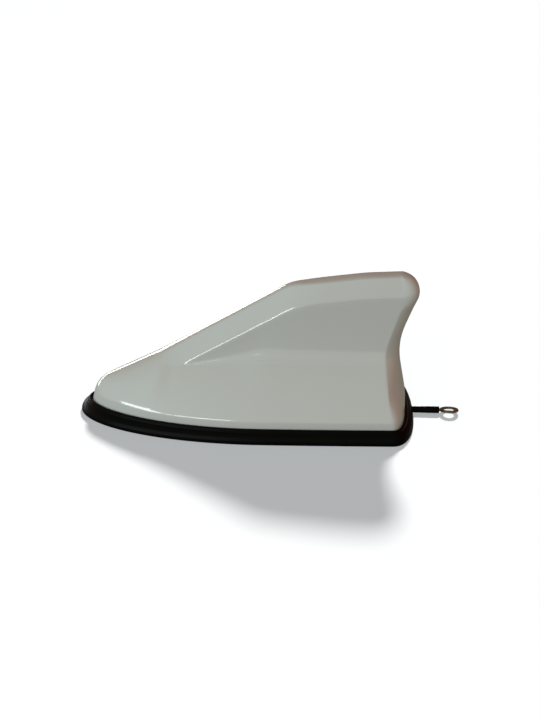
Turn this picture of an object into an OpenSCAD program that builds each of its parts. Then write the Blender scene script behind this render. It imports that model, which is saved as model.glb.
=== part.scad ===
// Shark fin roof aerial with a rubber gasket, an inner board and a lead with a ring terminal.
// +X points to the rear of the car, +Z up, and z = 0 is the surface under the gasket.

/* [Overall] */
// Length over the gasket, nose to rear
total_l = 165; // [155:1:175]
// Width over the gasket
total_w = 76; // [72:1:80]
// Height of the ridge line at its rear corner, before the corner is rounded
fin_h = 73.8; // [68:0.2:80]

/* [Cover] */
// Thickness of the cover's wall
wall = 2.4; // [1.8:0.1:2.8]
// Distance from the nose at which the outline reaches its full width
nose_l = 86; // [78:0.5:92]
// Depth of the rounded rear corners in plan
corner_l = 7.8; // [6:0.2:10]
// Height of the upright skirt round the foot of the cover
skirt_h = 5.2; // [4:0.2:7]
// Width of the ridge
ridge_w = 9.8; // [8:0.2:12]
// Height of the raised band below the ridge
band_h = 10; // [8:0.2:12]
// Lean of the band from upright, in degrees
band_lean = 27; // [20:1:32]
// Distance from the nose to the tip of the side panel
tip_l = 49.5; // [47:0.5:52]
// Height of the shoulder where the side panel meets the flank
shoulder_z = 31.5; // [28:0.5:34]
// How far the shoulder stands out from the band
shoulder_out = 3.6; // [2.6:0.2:5]
// Distance from the nose to the bend at the top of the slope
slope_l = 104; // [98:1:110]
// Outer diameter of the screw posts in the cover
post_d = 6.4; // [5.6:0.2:7.2]

/* [Gasket] */
// How far the gasket shows beyond the cover at the sides and rear
rim = 4.6; // [3.8:0.1:5.4]
// Height of the gasket's ledge that carries the cover
ledge_z = 5; // [4.4:0.1:5.6]
// Height of the lip above the ledge
lip_h = 1.9; // [1.2:0.1:2.4]
// Width of the flange under the base plate
flange_w = 5.2; // [4:0.2:6]

/* [Base] */
// Thickness of the base plate
plate_t = 2.4; // [2:0.1:3]
// Height of the base plate's lower face
plate_z = 3.4; // [3:0.1:3.8]
// Gap between the base plate and the cover's wall
plate_gap = 0.6; // [0.5:0.1:1]
// Length of the access opening
opening_l = 50; // [40:1:54]
// Width of the access opening
opening_w = 34; // [28:1:36]
// Thickness of the foam adhesive pad
pad_t = 1.5; // [1:0.1:1.8]
// Thickness of the release liner
liner_t = 0.2; // [0.1:0.05:0.3]

/* [Screws] */
// Shank diameter of the base screws
screw_d = 2.4; // [2:0.1:2.8]
// Length of the base screws
screw_l = 10; // [8:0.5:12]
// Head diameter of the base screws
head_d = 5.2; // [4.6:0.2:5.6]
// Shank diameter of the small screws on the board
small_screw_d = 1.6; // [1.4:0.1:2]

/* [Board] */
// Length of the circuit board
board_l = 40; // [36:1:42]
// Width of the circuit board
board_w = 34; // [30:1:36]
// Thickness of the circuit board
board_t = 1.6; // [1:0.1:2]
// Height of the posts that carry the board
board_post_h = 5.4; // [4:0.2:7]

/* [Radiator] */
// Thickness of the radiator sheet
sheet_t = 0.5; // [0.3:0.1:0.8]
// Thickness of the carrier's blade
blade_t = 1.8; // [1.4:0.1:2.4]
// Wire diameter of the loading coil
wire_d = 0.9; // [0.6:0.1:1.2]
// Mean diameter of the loading coil
coil_d = 7.5; // [7:0.1:9]
// Turns of the loading coil
coil_turns = 8; // [6:1:10]

/* [Lead] */
// Diameter of the lead
lead_d = 2.8; // [2.4:0.1:3]
// Outer diameter of the shrink sleeve
sleeve_d = 3.4; // [3.2:0.1:3.5]
// Outer diameter of the ring terminal
ring_d = 9.4; // [8.4:0.2:10.4]
// Hole in the ring terminal
ring_hole = 5.3; // [4.3:0.1:6.4]
// Thickness of the terminal's metal
ring_t = 0.8; // [0.6:0.1:1.2]

/* [Hidden] */
$fn = 32;
eps = 0.01;

// Ends of the gasket and of the cover along X
x_nose = -total_l / 2;
x_rear = total_l / 2;
cover_x0 = x_nose + rim * 1.2;
cover_x1 = x_rear - rim;
half_w = total_w / 2 - rim;

// Outline in plan: the nose is longer than an even offset, and slimmer than an ellipse behind its round tip
nose_gain = 1.2;
nose_exp = 1.67;
nose_round = 0.25;
corner_exp = 2.4;
// Between foot and top corner the side turns to the rear face in a crisp edge
edge_exp = 1.15;
top_exp = 2.6;
full_w_x = cover_x0 + nose_l;
// Points along the nose, the side and the rear corner
outline_n = [22, 13, 6];
// Length of the last column of the side, next to the rear corner
lip_step = 1.2;

function mix(a, b, t) = a + (b - a) * t;
function clamp01(t) = max(0, min(1, t));
function smooth(a, b, x) = let (t = clamp01((x - a) / (b - a))) t * t * (3 - 2 * t);
function soft_min(a, b, k) = let (t = clamp01(0.5 + 0.5 * (b - a) / k)) mix(b, a, t) - k * t * (1 - t);
function bezier(a, b, c, t) = (1 - t) * (1 - t) * a + 2 * t * (1 - t) * b + t * t * c;
function unit(v) = v / norm(v);

// Half of the cover's outline in plan, moved outwards by off: nose, side, then rear corner.
// n counts the points along each stretch.
function half_ring(off, n = outline_n) =
    let (nose_n = n[0], side_n = n[1], corner_n = n[2],
         x0 = cover_x0 - off * nose_gain,
         w = half_w + off,
         e = nose_exp + (off > 0 ? 0.06 : 0.04) * off,
         k = nose_round * nose_round,
         b = max(corner_l + off, 2.5),
         xc = cover_x1 + off - b)
    concat(
        [for (i = [0 : nose_n - 1]) let (a = 90 * i / nose_n, s = sin(a))
            [full_w_x - (full_w_x - x0) * cos(a), w * s * pow((s * s + k) / (1 + k), 1 / e - 0.5)]],
        [for (i = [0 : side_n - 1]) let (t = i / (side_n - 1))
            [mix(full_w_x, xc - lip_step, t), w - 0.6 * t * t]],
        [for (i = [0 : corner_n]) let (a = 90 * i / corner_n)
            [xc + b * pow(sin(a), 2 / corner_exp), (w - 0.6) * pow(cos(a), 2 / corner_exp)]]);

// Closed outline: one half and its mirror image
function ring(off, n = outline_n) =
    let (h = half_ring(off, n), n = len(h) - 1)
    concat(h, [for (i = [n - 1 : -1 : 1]) [h[i].x, -h[i].y]]);

// Arc of radius r that rounds the corner b between a and c
function fillet(a, b, c, r, n) =
    let (u = unit(a - b), v = unit(c - b),
         half = acos(u * v) / 2,
         m = b + unit(u + v) * r / sin(half),
         p = b + u * r / tan(half) - m,
         q = b + v * r / tan(half) - m,
         turn = 180 - 2 * half)
    [for (k = [0 : n]) m + (sin(turn * (1 - k / n)) * p + sin(turn * k / n) * q) / sin(turn)];

// Open line through nodes [x, z, radius], rounded at every inner node
function rounded(nodes, n = 10) =
    let (last = len(nodes) - 1, p = [for (k = nodes) [k.x, k.y]])
    concat([p[0]],
           [for (i = [1 : last - 1]) each fillet(p[i - 1], p[i], p[i + 1], nodes[i].z, n)],
           [p[last]]);

// Side view of the cover: nose, slope, ridge, rear top corner, waist and heel
lean = 4;
chin = [cover_x0, ledge_z, 0];
shoulder = [cover_x0 + lean - 0.9, 16.3, 13];
bend = [x_nose + 38, 30.4, 60];
brow = [x_nose + slope_l, fin_h - 5.9, 22];
crest = [x_nose + slope_l + 36, fin_h - 1.3, 120];
tail = [cover_x1 + 9.3, fin_h, 8.7];
waist = [cover_x1 - 4.6, 38.5, 36];
calf = [cover_x1, 14.5, 22];
heel = [cover_x1, ledge_z, 0];
side_line = rounded([chin, shoulder, bend, brow, crest, tail, waist, calf, heel]);
// End of the ridge, where the rear corner's turn begins
turn_x0 = cover_x1 - 3.7;
ridge_line = [for (p = side_line)
              if (p.y > 12 && p.x < cover_x1 - 1.6 && (p.x < brow.x || p.y > brow.y - 2)) p];
rear_nodes = [crest, tail, waist, calf, heel];
rear_line = [for (p = rounded(rear_nodes)) if (p.y < fin_h - 10) [p.y, p.x]];
stem_line = [for (p = rounded([chin, shoulder, bend])) if (p.x < shoulder.x + 3) [p.y, p.x]];

function ridge_z(x) = lookup(x, ridge_line);

// Edge where the side turns to the rear face, seen from the side
foot_x = cover_x1 - corner_l;
edge_nodes = [[foot_x, ledge_z, 0], [cover_x1 - 11.1, 36.2, 24], [cover_x1 - 3.4, fin_h - 13.8, 6],
              [cover_x1 - 3.8, fin_h, 0]];
edge_line = [for (p = rounded(edge_nodes)) [p.y, p.x]];

// Turn of the rear line round the top corner, by its share of the length
turn_z = fin_h - 15.5;
turn_pts = [for (p = rounded(rear_nodes, 12)) if (p.y > turn_z && p.x > turn_x0) p];
turn_path = concat([[turn_x0, ridge_z(turn_x0)]], turn_pts, [[lookup(turn_z, rear_line), turn_z]]);
turn_n = len(turn_path) - 1;
turn_len = [for (i = 0, s = 0; i <= turn_n;
                 s = s + norm(turn_path[min(i + 1, turn_n)] - turn_path[i]), i = i + 1) s];
turn_x = [for (i = [0 : turn_n]) [turn_len[i], turn_path[i].x]];
turn_zs = [for (i = [0 : turn_n]) [turn_len[i], turn_path[i].y]];
turn_total = turn_len[turn_n];

// Mesh of a skin: points along the outline, then the shares at which rows cross the flank,
// the side panel, the band, the ridge's edge and its crown. The crown has as many as the rear corner.
fine = [outline_n, [0.15, 0.3, 0.45, 0.6, 0.75, 0.9], [0.06, 0.14, 0.26, 0.45, 0.7], [0.25, 0.5, 0.75],
        [0.25, 0.5], [0.58, 0.66, 0.74, 0.83, 0.92, 1]];
coarse = [[16, 8, 6], [0.35, 0.7], [0.2], [0.5], [0.5], [0.6, 0.7, 0.8, 0.9, 0.95, 1]];

// Section of one side of the cover at a point p of its foot, as [y, z] from the foot to the ridge.
// The nose has a plain dome, which blends into flank, shoulder, side panel and band behind the tip.
// inset moves the section inwards by the wall, for the cavity.
function section(p, inset, mesh) =
    let (d = p.x - x_nose,
         top = ridge_z(min(p.x + lean, turn_x0)) - inset,
         h = top - ledge_z,
         front = 1 - smooth(24, 58, d),
         blend = smooth(tip_l - 14, tip_l + 1, d),
         nose_fade = 1 - smooth(5, 40, d),
         yb = p.y,
         yr = (ridge_w / 2 - inset) * (1 - exp(-0.62 * yb / (ridge_w / 2 - inset))),
         y1 = yb * (0.97 - 0.05 * nose_fade),
         z1 = ledge_z + soft_min(skirt_h + 1.6 * nose_fade, 0.4 * h, 1) - 0.3 * inset,
         band = soft_min(band_h, 0.42 * h, 3),
         edge_h = mix(2.6, 0.9, front) * clamp01(yb / 6),
         tip_fade = 1 - smooth(tip_l - 3, tip_l + 30, d),
         yc = mix(yr + (band - edge_h) * tan(band_lean), mix(yr, yb, 0.53), tip_fade),
         ys = yc + mix(0.6, shoulder_out, smooth(tip_l - 2, tip_l + 24, d)),
         zs = soft_min(top - band - 1, shoulder_z - 4 * (1 - smooth(46, 70, d)) - 0.7 * inset, 2),
         skirt_top = [y1, z1],
         shoulder = [ys, zs],
         crease = [yc, top - band],
         ridge = [yr, top - edge_h],
         flank = [mix(ys, y1, 0.57), mix(z1, zs, 0.57)],
         panel = [mix(yc, ys, 0.15), mix(zs, crease.y, 0.12)],
         bulge = (crease + ridge) / 2 + mix(0.15, 1.6, tip_fade) * [0.5, 0.85],
         crown = [yr * mix(0.84, 0.45, front), top],
         dome = [mix(yr, y1, 0.6), mix(z1, ridge.y, 0.76)],
         side = concat([for (t = mesh[1]) bezier(skirt_top, flank, shoulder, t)],
                       [shoulder],
                       [for (t = mesh[2]) bezier(shoulder, panel, crease, t)],
                       [crease],
                       [for (t = mesh[3]) bezier(crease, bulge, ridge, t)]),
         n = len(side) + 1)
    concat([[yb, ledge_z], skirt_top],
           [for (i = [1 : n - 1]) mix(bezier(skirt_top, dome, ridge, i / n), side[i - 1], blend)],
           [ridge],
           [for (t = mesh[4]) bezier(ridge, crown, [0, top], t)],
           [for (t = mesh[5]) bezier(ridge, crown, [0, top], t)]);

// Number of rows from the foot to the ridge's edge
function side_rows(mesh) = 4 + len(mesh[1]) + len(mesh[2]) + len(mesh[3]) + len(mesh[4]);

// Side-view x of a point at height z on the section that stands at foot x
function stand_x(x, z, top, inset) =
    let (f = clamp01((z - ledge_z) / (top - ledge_z)),
         stem = (lookup(ledge_z + f * (ridge_z(cover_x0 + lean) - ledge_z), stem_line) - cover_x0) / lean,
         straight = x + lean * stem,
         w = smooth(cover_x1 - 48, foot_x, x))
    mix(straight, straight + lookup(z, edge_line) - (foot_x + lean * stem), w);

// Half of the cover's skin: for each column from the nose round to the rear, points from the foot up.
// Side columns run on over the ridge to its middle.
function skin(inset, mesh) =
    let (h = half_ring(-inset, mesh[0]),
         n = mesh[0][0] + mesh[0][1],
         corner_n = mesh[0][2],
         rows = side_rows(mesh),
         side = [for (i = [0 : n]) let (s = section(h[i], inset, mesh), top = s[len(s) - 1].y)
                 [for (q = s) [stand_x(h[i].x, q.y, top, inset), q.x, q.y]]],
         edge = side[n])
    concat(side,
           [for (k = [1 : corner_n]) let (a = 90 * k / corner_n)
            [for (j = [0 : rows])
             let (e = edge[j],
                  r = rear_point(e.z, edge[rows].z, inset),
                  crisp = smooth(ledge_z + 3, 20, e.z) * (1 - smooth(turn_z - 2, turn_z + 5, e.z)),
                  soft = mix(corner_exp, top_exp, smooth(20, turn_z, e.z)),
                  out = pow(sin(a), 2 / mix(soft, edge_exp, crisp)))
             [mix(e.x, r.x, out), e.y * pow(cos(a), 2 / mix(soft, 2, crisp)), mix(e.z, r.y, out)]]]);

// Point of the rear line that goes with height z on the edge
function rear_point(z, top, inset) =
    z <= turn_z - inset ? [lookup(z, rear_line) - inset, z]
    : let (f = 1 - clamp01((z - turn_z + inset) / (top - turn_z + inset)),
           s = f * turn_total,
           c = [cover_x1 - 5, fin_h - 12],
           p = [lookup(s, turn_x), lookup(s, turn_zs)])
      p - inset * unit(p - c);

// Closed loop of points at row j, round both sides
function loop_row(half, j) =
    let (n = len(half) - 1)
    concat([for (i = [0 : n]) half[i][j]],
           [for (i = [n - 1 : -1 : 1]) [half[i][j].x, -half[i][j].y, half[i][j].z]]);

// Solid under a skin, closed at the foot
module skin_solid(inset, mesh) {
    half = skin(inset, mesh);
    last_side = mesh[0][0] + mesh[0][1];
    top_row = side_rows(mesh);
    crown_n = len(mesh[5]);
    cols = len(half) - 1;
    loop_n = 2 * cols;
    // Rows from the foot to the ridge's edge, then the crown's lines across
    rows = [for (j = [0 : top_row]) each loop_row(half, j)];
    crown = [for (i = [1 : last_side - 1]) each
             concat([for (k = [0 : crown_n - 1]) half[i][top_row + 1 + k]],
                    [for (k = [crown_n - 2 : -1 : 0]) let (p = half[i][top_row + 1 + k]) [p.x, -p.y, p.z]])];
    foot = [for (i = [0 : loop_n - 1]) loop_n - 1 - i];
    top0 = top_row * loop_n;
    across = 2 * crown_n - 1;
    function right(i) = top0 + i;
    function left(i) = top0 + (loop_n - i) % loop_n;
    // Index of point k of the line across the crown at column i, from the right edge to the left
    function cross_pt(i, k) =
        k == 0 ? right(i)
        : k == across + 1 ? left(i)
        : i == 0 ? right(0)
        : i == last_side ? top0 + last_side + round(k * 2 * (cols - last_side) / (across + 1))
        : len(rows) + (i - 1) * across + k - 1;
    walls = [for (j = [0 : top_row - 1], i = [0 : loop_n - 1])
             let (a = j * loop_n + i, b = j * loop_n + (i + 1) % loop_n, c = b + loop_n, d = a + loop_n)
             each [[a, b, d], [b, c, d]]];
    caps = [for (i = [0 : last_side - 1], k = [0 : across])
            let (a = cross_pt(i, k), b = cross_pt(i, k + 1), c = cross_pt(i + 1, k + 1), d = cross_pt(i + 1, k))
            each [if (i > 0) [a, c, b], [a, d, c]]];
    polyhedron(concat(rows, crown), concat([foot], walls, caps), convexity = 8);
}

// Heights of the stack, from the plate up
plate_top = plate_z + plate_t;
board_z = plate_top + board_post_h;
board_top = board_z + board_t;
flange_off = -(wall + plate_gap + flange_w);

// Places on the plate and the board
opening_x = x_nose + 78;
opening_end = opening_x + opening_l / 2;
board_x0 = opening_end + 5.5;
screw_pts = [[x_nose + 24, 0], [x_nose + 46, 13], [x_nose + 46, -13],
             [cover_x1 - 14.5, 21], [cover_x1 - 14.5, -21]];
board_pts = [for (x = [board_x0 + 3.5, board_x0 + board_l - 3.5], y = [-1, 1])
             [x, y * (board_w / 2 - 3.5)]];
coil_x = board_x0 + 13;
foot_l = 18;
carrier_x0 = board_x0 + 20.5;
foot_t = 3;
carrier_pts = [[carrier_x0 + 3, 3.2], [carrier_x0 + foot_l - 3, -3.2]];
lead_slot_w = lead_d + 1.2;

// Route of the lead: from the board over its notch, down through the plate and back under it
lead_path = [[32, 0, 14.4], [29, 0, 14.3], [26, 0, 13.4], [24, 0, 11.3], [23.2, 0, 8.4], [23.8, 0, 5],
             [25.8, 0, 2.6], [28.8, 0, 1.6], [34, 0, 1.5], [41, 0, 1.5], [48, 0, 1.5], [55, 0, 1.5],
             [62, 0, 1.5], [69, 0, 1.5], [74, 0, 1.6], [78, 0, 1.75], [84, 0, 1.75], [91, 0, 1.75]];
lead_end = 91;
end_z = 1.75;
// The sleeve starts inside the gasket's notch
sleeve_x = 79;
sleeve_l = 16.5;
// Twist of the terminal about the lead
ring_turn = -9;
ring_x = sleeve_x + sleeve_l + ring_d / 2 + 0.2;

// Tube of radius r swept along points in a plane of constant y
module tube(path, r, sides = 8) {
    n = len(path) - 1;
    side = [0, 1, 0];
    pts = [for (i = [0 : n])
           let (t = unit(path[min(i + 1, n)] - path[max(i - 1, 0)]), up = cross(t, side))
           for (a = [0 : 360 / sides : 359]) path[i] + r * (cos(a) * side + sin(a) * up)];
    walls = [for (i = [0 : n - 1], k = [0 : sides - 1])
             let (a = i * sides + k, b = i * sides + (k + 1) % sides, c = b + sides, d = a + sides)
             each [[a, b, d], [b, c, d]]];
    polyhedron(concat(pts), concat([[for (k = [sides - 1 : -1 : 0]) k]], walls,
                                   [[for (k = [0 : sides - 1]) n * sides + k]]), convexity = 6);
}

// Flat shape with round corners of radius r
module round_box(l, w, r) {
    square([l - 2 * r, w], center = true);
    square([l, w - 2 * r], center = true);
    for (x = [-1, 1], y = [-1, 1]) translate([x * (l / 2 - r), y * (w / 2 - r)]) circle(r);
}

// Self-tapping screw that points up, head at the bottom, its head's rim at z = 0
module sunk_screw(d, l, head) {
    rise = (head - d) / 2;
    difference() {
        union() {
            cylinder(h = rise, d1 = head, d2 = d);
            cylinder(h = l - d, d = d);
            translate([0, 0, l - d]) cylinder(h = d, d1 = d, d2 = d * 0.35);
        }
        for (a = [0, 90]) rotate([0, 0, a]) translate([-d * 0.5, -0.3, -eps]) cube([d, 0.6, 0.9]);
    }
}

// Small pan-head screw that points down, under its head at z = 0
module pan_screw(d, l) {
    difference() {
        union() {
            cylinder(h = d * 0.7, d = d * 2);
            translate([0, 0, d - l]) cylinder(h = l - d, d = d);
            translate([0, 0, -l]) cylinder(h = d, d1 = d * 0.3, d2 = d);
        }
        for (a = [0, 90]) rotate([0, 0, a]) translate([-d * 0.6, -0.2, d * 0.3]) cube([d * 1.2, 0.4, d]);
    }
}

module cover() {
    color([0.9, 0.91, 0.9]) {
        difference() {
            skin_solid(0, fine);
            translate([0, 0, -eps]) skin_solid(wall, coarse);
        }
        // Screw posts, cut to the skin
        intersection() {
            skin_solid(0.8, coarse);
            difference() {
                for (p = screw_pts) translate([p.x, p.y, plate_top]) cylinder(h = 20, d = post_d);
                for (p = screw_pts) translate([p.x, p.y, plate_top - eps])
                    cylinder(h = screw_l - plate_t + 0.6, d = screw_d + 0.2);
            }
        }
    }
}

module gasket() {
    out = rim;
    top = ledge_z + lip_h;
    inner = -(wall + 0.2);
    // Section as [offset from the cover's outline, height], from the outer foot over the lip and back
    profile = [[out - 0.5, 0], [out, 0.6], [out - 0.15, 2], [out - 0.9, 3.7], [out - 1.9, ledge_z - 0.2],
               [out - 2.8, ledge_z + 0.3], [out - 3, top - 0.5], [out - 3.5, top], [0.5, top],
               [0.2, top - 0.4], [0.3, ledge_z], [inner, ledge_z], [inner, plate_z],
               [flange_off, plate_z], [flange_off, 0.8], [flange_off + 1, 0], [flange_off + 2, 0],
               [flange_off + 2.6, 1], [0.6, 1], [1.4, 0]];
    rings = [for (q = profile) ring(q.x)];
    n = len(rings[0]);
    m = len(profile);
    pts = [for (j = [0 : m - 1], i = [0 : n - 1]) [rings[j][i].x, rings[j][i].y, profile[j].y]];
    faces = [for (j = [0 : m - 1], i = [0 : n - 1])
             let (i2 = (i + 1) % n, j2 = (j + 1) % m,
                  a = j * n + i, b = j * n + i2, c = j2 * n + i2, d = j2 * n + i)
             each [[a, b, c], [a, c, d]]];
    color([0.05, 0.05, 0.05])
        difference() {
            polyhedron(pts, faces, convexity = 8);
            // Notch for the lead at the rear
            translate([x_rear - 16, -lead_slot_w / 2, -1]) cube([20, lead_slot_w, plate_z + 1.5]);
        }
}

module base_plate() {
    edge = -(wall + plate_gap);
    rib_h = 2.8;
    color([0.1, 0.1, 0.1])
        difference() {
            union() {
                translate([0, 0, plate_z]) linear_extrude(plate_t) polygon(ring(edge));
                // Rib that locates the cover
                translate([0, 0, plate_top]) linear_extrude(rib_h) difference() {
                    polygon(ring(edge - 1));
                    polygon(ring(edge - 2.4));
                }
                // Collar round the access opening
                translate([opening_x, 0, plate_top]) linear_extrude(rib_h)
                    round_box(opening_l + 3.2, opening_w + 3.2, 9.6);
                // Posts under the board
                for (p = board_pts) translate([p.x, p.y, plate_top]) cylinder(h = board_post_h, d = 5);
            }
            translate([opening_x, 0, 0]) linear_extrude(30) round_box(opening_l, opening_w, 8);
            translate([opening_end - 3, -lead_slot_w / 2, 0]) cube([11.5, lead_slot_w, 30]);
            for (p = screw_pts) translate([p.x, p.y, plate_z]) {
                translate([0, 0, -1]) cylinder(h = 20, d = screw_d + 0.4);
                translate([0, 0, -eps])
                    cylinder(h = (head_d - screw_d) / 2, d1 = head_d + 0.4, d2 = screw_d + 0.4);
            }
            for (p = board_pts) translate([p.x, p.y, plate_top + 1])
                cylinder(h = board_post_h, d = small_screw_d + 0.2);
        }
}

// Outline that the foam pad and its liner share
module pad_shape() {
    difference() {
        polygon(ring(flange_off - 0.6));
        translate([opening_x, 0]) round_box(opening_l + 3, opening_w + 3, 9.5);
        translate([opening_x, -lead_slot_w / 2 - 0.5]) square([total_l, lead_slot_w + 1]);
        for (p = screw_pts) translate(p) circle(d = head_d + 1.6);
    }
}

module adhesive_pad() {
    color([0.3, 0.3, 0.31]) translate([0, 0, plate_z - pad_t]) linear_extrude(pad_t) pad_shape();
}

module release_liner() {
    color([0.75, 0.1, 0.1]) translate([0, 0, plate_z - pad_t - liner_t]) linear_extrude(liner_t) pad_shape();
}

module base_screws() {
    color([0.7, 0.7, 0.72])
        for (p = screw_pts) translate([p.x, p.y, plate_z + 0.05]) sunk_screw(screw_d, screw_l, head_d);
}

module circuit_board() {
    color([0.1, 0.4, 0.2]) translate([0, 0, board_z]) linear_extrude(board_t) difference() {
        translate([board_x0 + board_l / 2, 0]) round_box(board_l, board_w, 2);
        translate([board_x0 - 1, -lead_slot_w / 2 - 0.3]) square([5, lead_slot_w + 0.6]);
        for (p = concat(board_pts, carrier_pts)) translate(p) circle(d = small_screw_d + 0.5);
    }
}

module board_screws() {
    color([0.75, 0.75, 0.78])
        for (p = board_pts) translate([p.x, p.y, board_top]) pan_screw(small_screw_d, 5.5);
}

// Side view of the upright blade that carries the radiator
blade_top = fin_h - 8;
module blade_shape() {
    polygon([[x_nose + 65, 35], [x_nose + 66.5, 38.5], [x_nose + slope_l, blade_top - 4.5],
             [x_nose + slope_l + 36, blade_top - 0.4], [cover_x1 - 7, blade_top], [cover_x1 - 11.5, 42],
             [carrier_x0 + foot_l, board_top + foot_t - 1], [carrier_x0, board_top + foot_t - 1],
             [carrier_x0 - 3, 31], [coil_x + 5.5, 35]]);
}

// Heat-staked pegs that hold the radiator, as [x, z]
peg_pts = [[x_nose + 76, 40], [x_nose + 104, 56], [x_nose + 128, 60], [cover_x1 - 12.5, 50]];
peg_d = 2;

module radiator_carrier() {
    color([0.85, 0.85, 0.8]) difference() {
        union() {
            rotate([90, 0, 0]) linear_extrude(blade_t, center = true) blade_shape();
            translate([carrier_x0, -5.5, board_top]) cube([foot_l, 11, foot_t]);
            for (p = peg_pts) translate([p.x, -blade_t / 2 + eps, p.y]) rotate([90, 0, 0]) {
                cylinder(h = sheet_t + 0.3, d = peg_d);
                translate([0, 0, sheet_t + 0.1]) cylinder(h = 0.5, d1 = peg_d + 1.4, d2 = peg_d);
            }
        }
        for (p = carrier_pts) translate([p.x, p.y, board_top - eps])
            cylinder(h = foot_t - 0.5, d = small_screw_d + 0.2);
    }
}

module carrier_screws() {
    color([0.75, 0.75, 0.78]) for (p = carrier_pts) translate([p.x, p.y, board_z]) mirror([0, 0, 1])
        pan_screw(small_screw_d, board_t + foot_t - 0.8);
}

module radiator_plate() {
    tab = coil_x - 1.5;
    color([0.8, 0.78, 0.7]) translate([0, -blade_t / 2 - 0.05, 0]) rotate([90, 0, 0]) linear_extrude(sheet_t)
        difference() {
            // The tab below the sheet's lower edge reaches down to the coil
            polygon([[x_nose + 68, 36.5], [x_nose + 68.5, 38], [x_nose + slope_l, blade_top - 6.5],
                     [x_nose + slope_l + 36, blade_top - 2.2], [cover_x1 - 8.6, blade_top - 1.8],
                     [cover_x1 - 12, 44], [cover_x1 - 13.5, 36.5],
                     [tab + 3, 36.5], [tab + 3, 30.5], [tab, 30.5], [tab, 36.5]]);
            for (p = peg_pts) translate(p) circle(d = peg_d + 0.3);
            // Slots that fold the current's path
            for (x = [x_nose + 90, x_nose + 110, x_nose + 121]) translate([x, 43]) square([1.6, 30]);
            for (x = [x_nose + 97, x_nose + 115, x_nose + 133]) translate([x, 30]) square([1.6, 19]);
        }
}

module coil_former() {
    core = coil_d - wire_d - 0.5;
    color([0.15, 0.15, 0.16]) translate([coil_x, 0, board_top]) {
        cylinder(h = 1.2, d = coil_d + 2);
        cylinder(h = 17.2, d = core);
        translate([0, 0, 16]) cylinder(h = 1.2, d = coil_d - 0.2);
    }
}

module loading_coil() {
    steps = 12;
    n = round(coil_turns) * steps;
    r = coil_d / 2;
    z0 = board_top + 1.3 + wire_d / 2;
    rise = 14.4 - wire_d;
    sides = 6;
    path = [for (i = [0 : n]) [r * cos(360 * i / steps), r * sin(360 * i / steps), z0 + rise * i / n]];
    pts = [for (i = [0 : n]) let (a = 360 * i / steps, out = [cos(a), sin(a), 0])
           for (b = [0 : 360 / sides : 359]) path[i] + wire_d / 2 * (cos(b) * out + [0, 0, sin(b)])];
    walls = [for (i = [0 : n - 1], k = [0 : sides - 1])
             let (a = i * sides + k, b = i * sides + (k + 1) % sides, c = b + sides, d = a + sides)
             each [[a, b, d], [b, c, d]]];
    color([0.75, 0.4, 0.15]) translate([coil_x, 0, 0])
        polyhedron(pts, concat([[for (k = [sides - 1 : -1 : 0]) k]], walls,
                               [[for (k = [0 : sides - 1]) n * sides + k]]), convexity = 10);
}

module shield_can() {
    color([0.8, 0.8, 0.82]) translate([board_x0 + 10, 7, board_top]) difference() {
        cube([16, 8, 3.2]);
        translate([0.4, 0.4, -eps]) cube([15.2, 7.2, 2.8]);
        for (x = [4 : 4 : 12]) translate([x, 4, 2]) cylinder(h = 3, d = 1.4);
    }
}

module amplifier_transistor() {
    color([0.12, 0.12, 0.12]) translate([board_x0 + 29, 9.5, board_top]) {
        translate([0, 0, 0.2]) cube([4.5, 2.5, 1.3]);
        for (x = [0.4, 2, 3.6]) translate([x, -1, 0]) cube([0.5, 4.2, 0.25]);
    }
}

module ferrite_choke() {
    color([0.25, 0.25, 0.25]) translate([board_x0 + 12, -10.5, board_top]) {
        cylinder(h = 1.2, d = 6.4);
        translate([0, 0, 1]) cylinder(h = 3.2, d = 5);
        translate([0, 0, 4]) cylinder(h = 1.2, d = 6.4);
    }
}

// Chips in a row, as length, width and height
module chips(pts, size) {
    for (p = pts) translate([p.x, p.y, board_top]) cube(size);
}

module capacitors() {
    color([0.7, 0.55, 0.35]) chips([for (x = [18, 22, 26, 30]) [board_x0 + x, -10]], [2, 1.25, 1.1]);
}

module resistors() {
    color([0.1, 0.1, 0.1]) chips([for (x = [18, 22, 26, 30]) [board_x0 + x, -14]], [2, 1.25, 0.6]);
}

module lead_clip() {
    x = board_x0 + 4.2;
    r = lead_d / 2 + 0.1;
    lift = 14.4 - board_top;
    color([0.8, 0.78, 0.7]) translate([x, 0, board_top]) rotate([90, 0, 90]) linear_extrude(1.6) difference() {
        union() {
            translate([0, lift]) circle(r + 0.5);
            translate([-r - 0.5, 0]) square([2 * r + 1, lift]);
            translate([-r - 2, 0]) square([2 * r + 4, 0.5]);
        }
        translate([0, lift]) circle(r);
        translate([-r, -1]) square([2 * r, lift + 1]);
    }
}

module lead() {
    color([0.05, 0.05, 0.05]) tube(lead_path, lead_d / 2);
}

module lead_sleeve() {
    color([0.08, 0.08, 0.08]) translate([sleeve_x, 0, end_z]) rotate([0, 90, 0]) difference() {
        cylinder(h = sleeve_l, d = sleeve_d);
        translate([0, 0, -1]) cylinder(h = sleeve_l + 2, d = lead_d);
    }
}

module ring_terminal() {
    color([0.7, 0.66, 0.58]) translate([0, 0, end_z]) rotate([ring_turn, 0, 0]) difference() {
        union() {
            translate([lead_end, 0, 0]) rotate([0, 90, 0])
                cylinder(h = sleeve_x + sleeve_l - 1 - lead_end, d = lead_d - 0.4);
            translate([sleeve_x + sleeve_l - 1.5, -1.2, -ring_t / 2]) cube([3.5, 2.4, ring_t]);
            translate([ring_x, 0, -ring_t / 2]) cylinder(h = ring_t, d = ring_d);
        }
        translate([ring_x, 0, -5]) cylinder(h = 20, d = ring_hole);
    }
}

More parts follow.
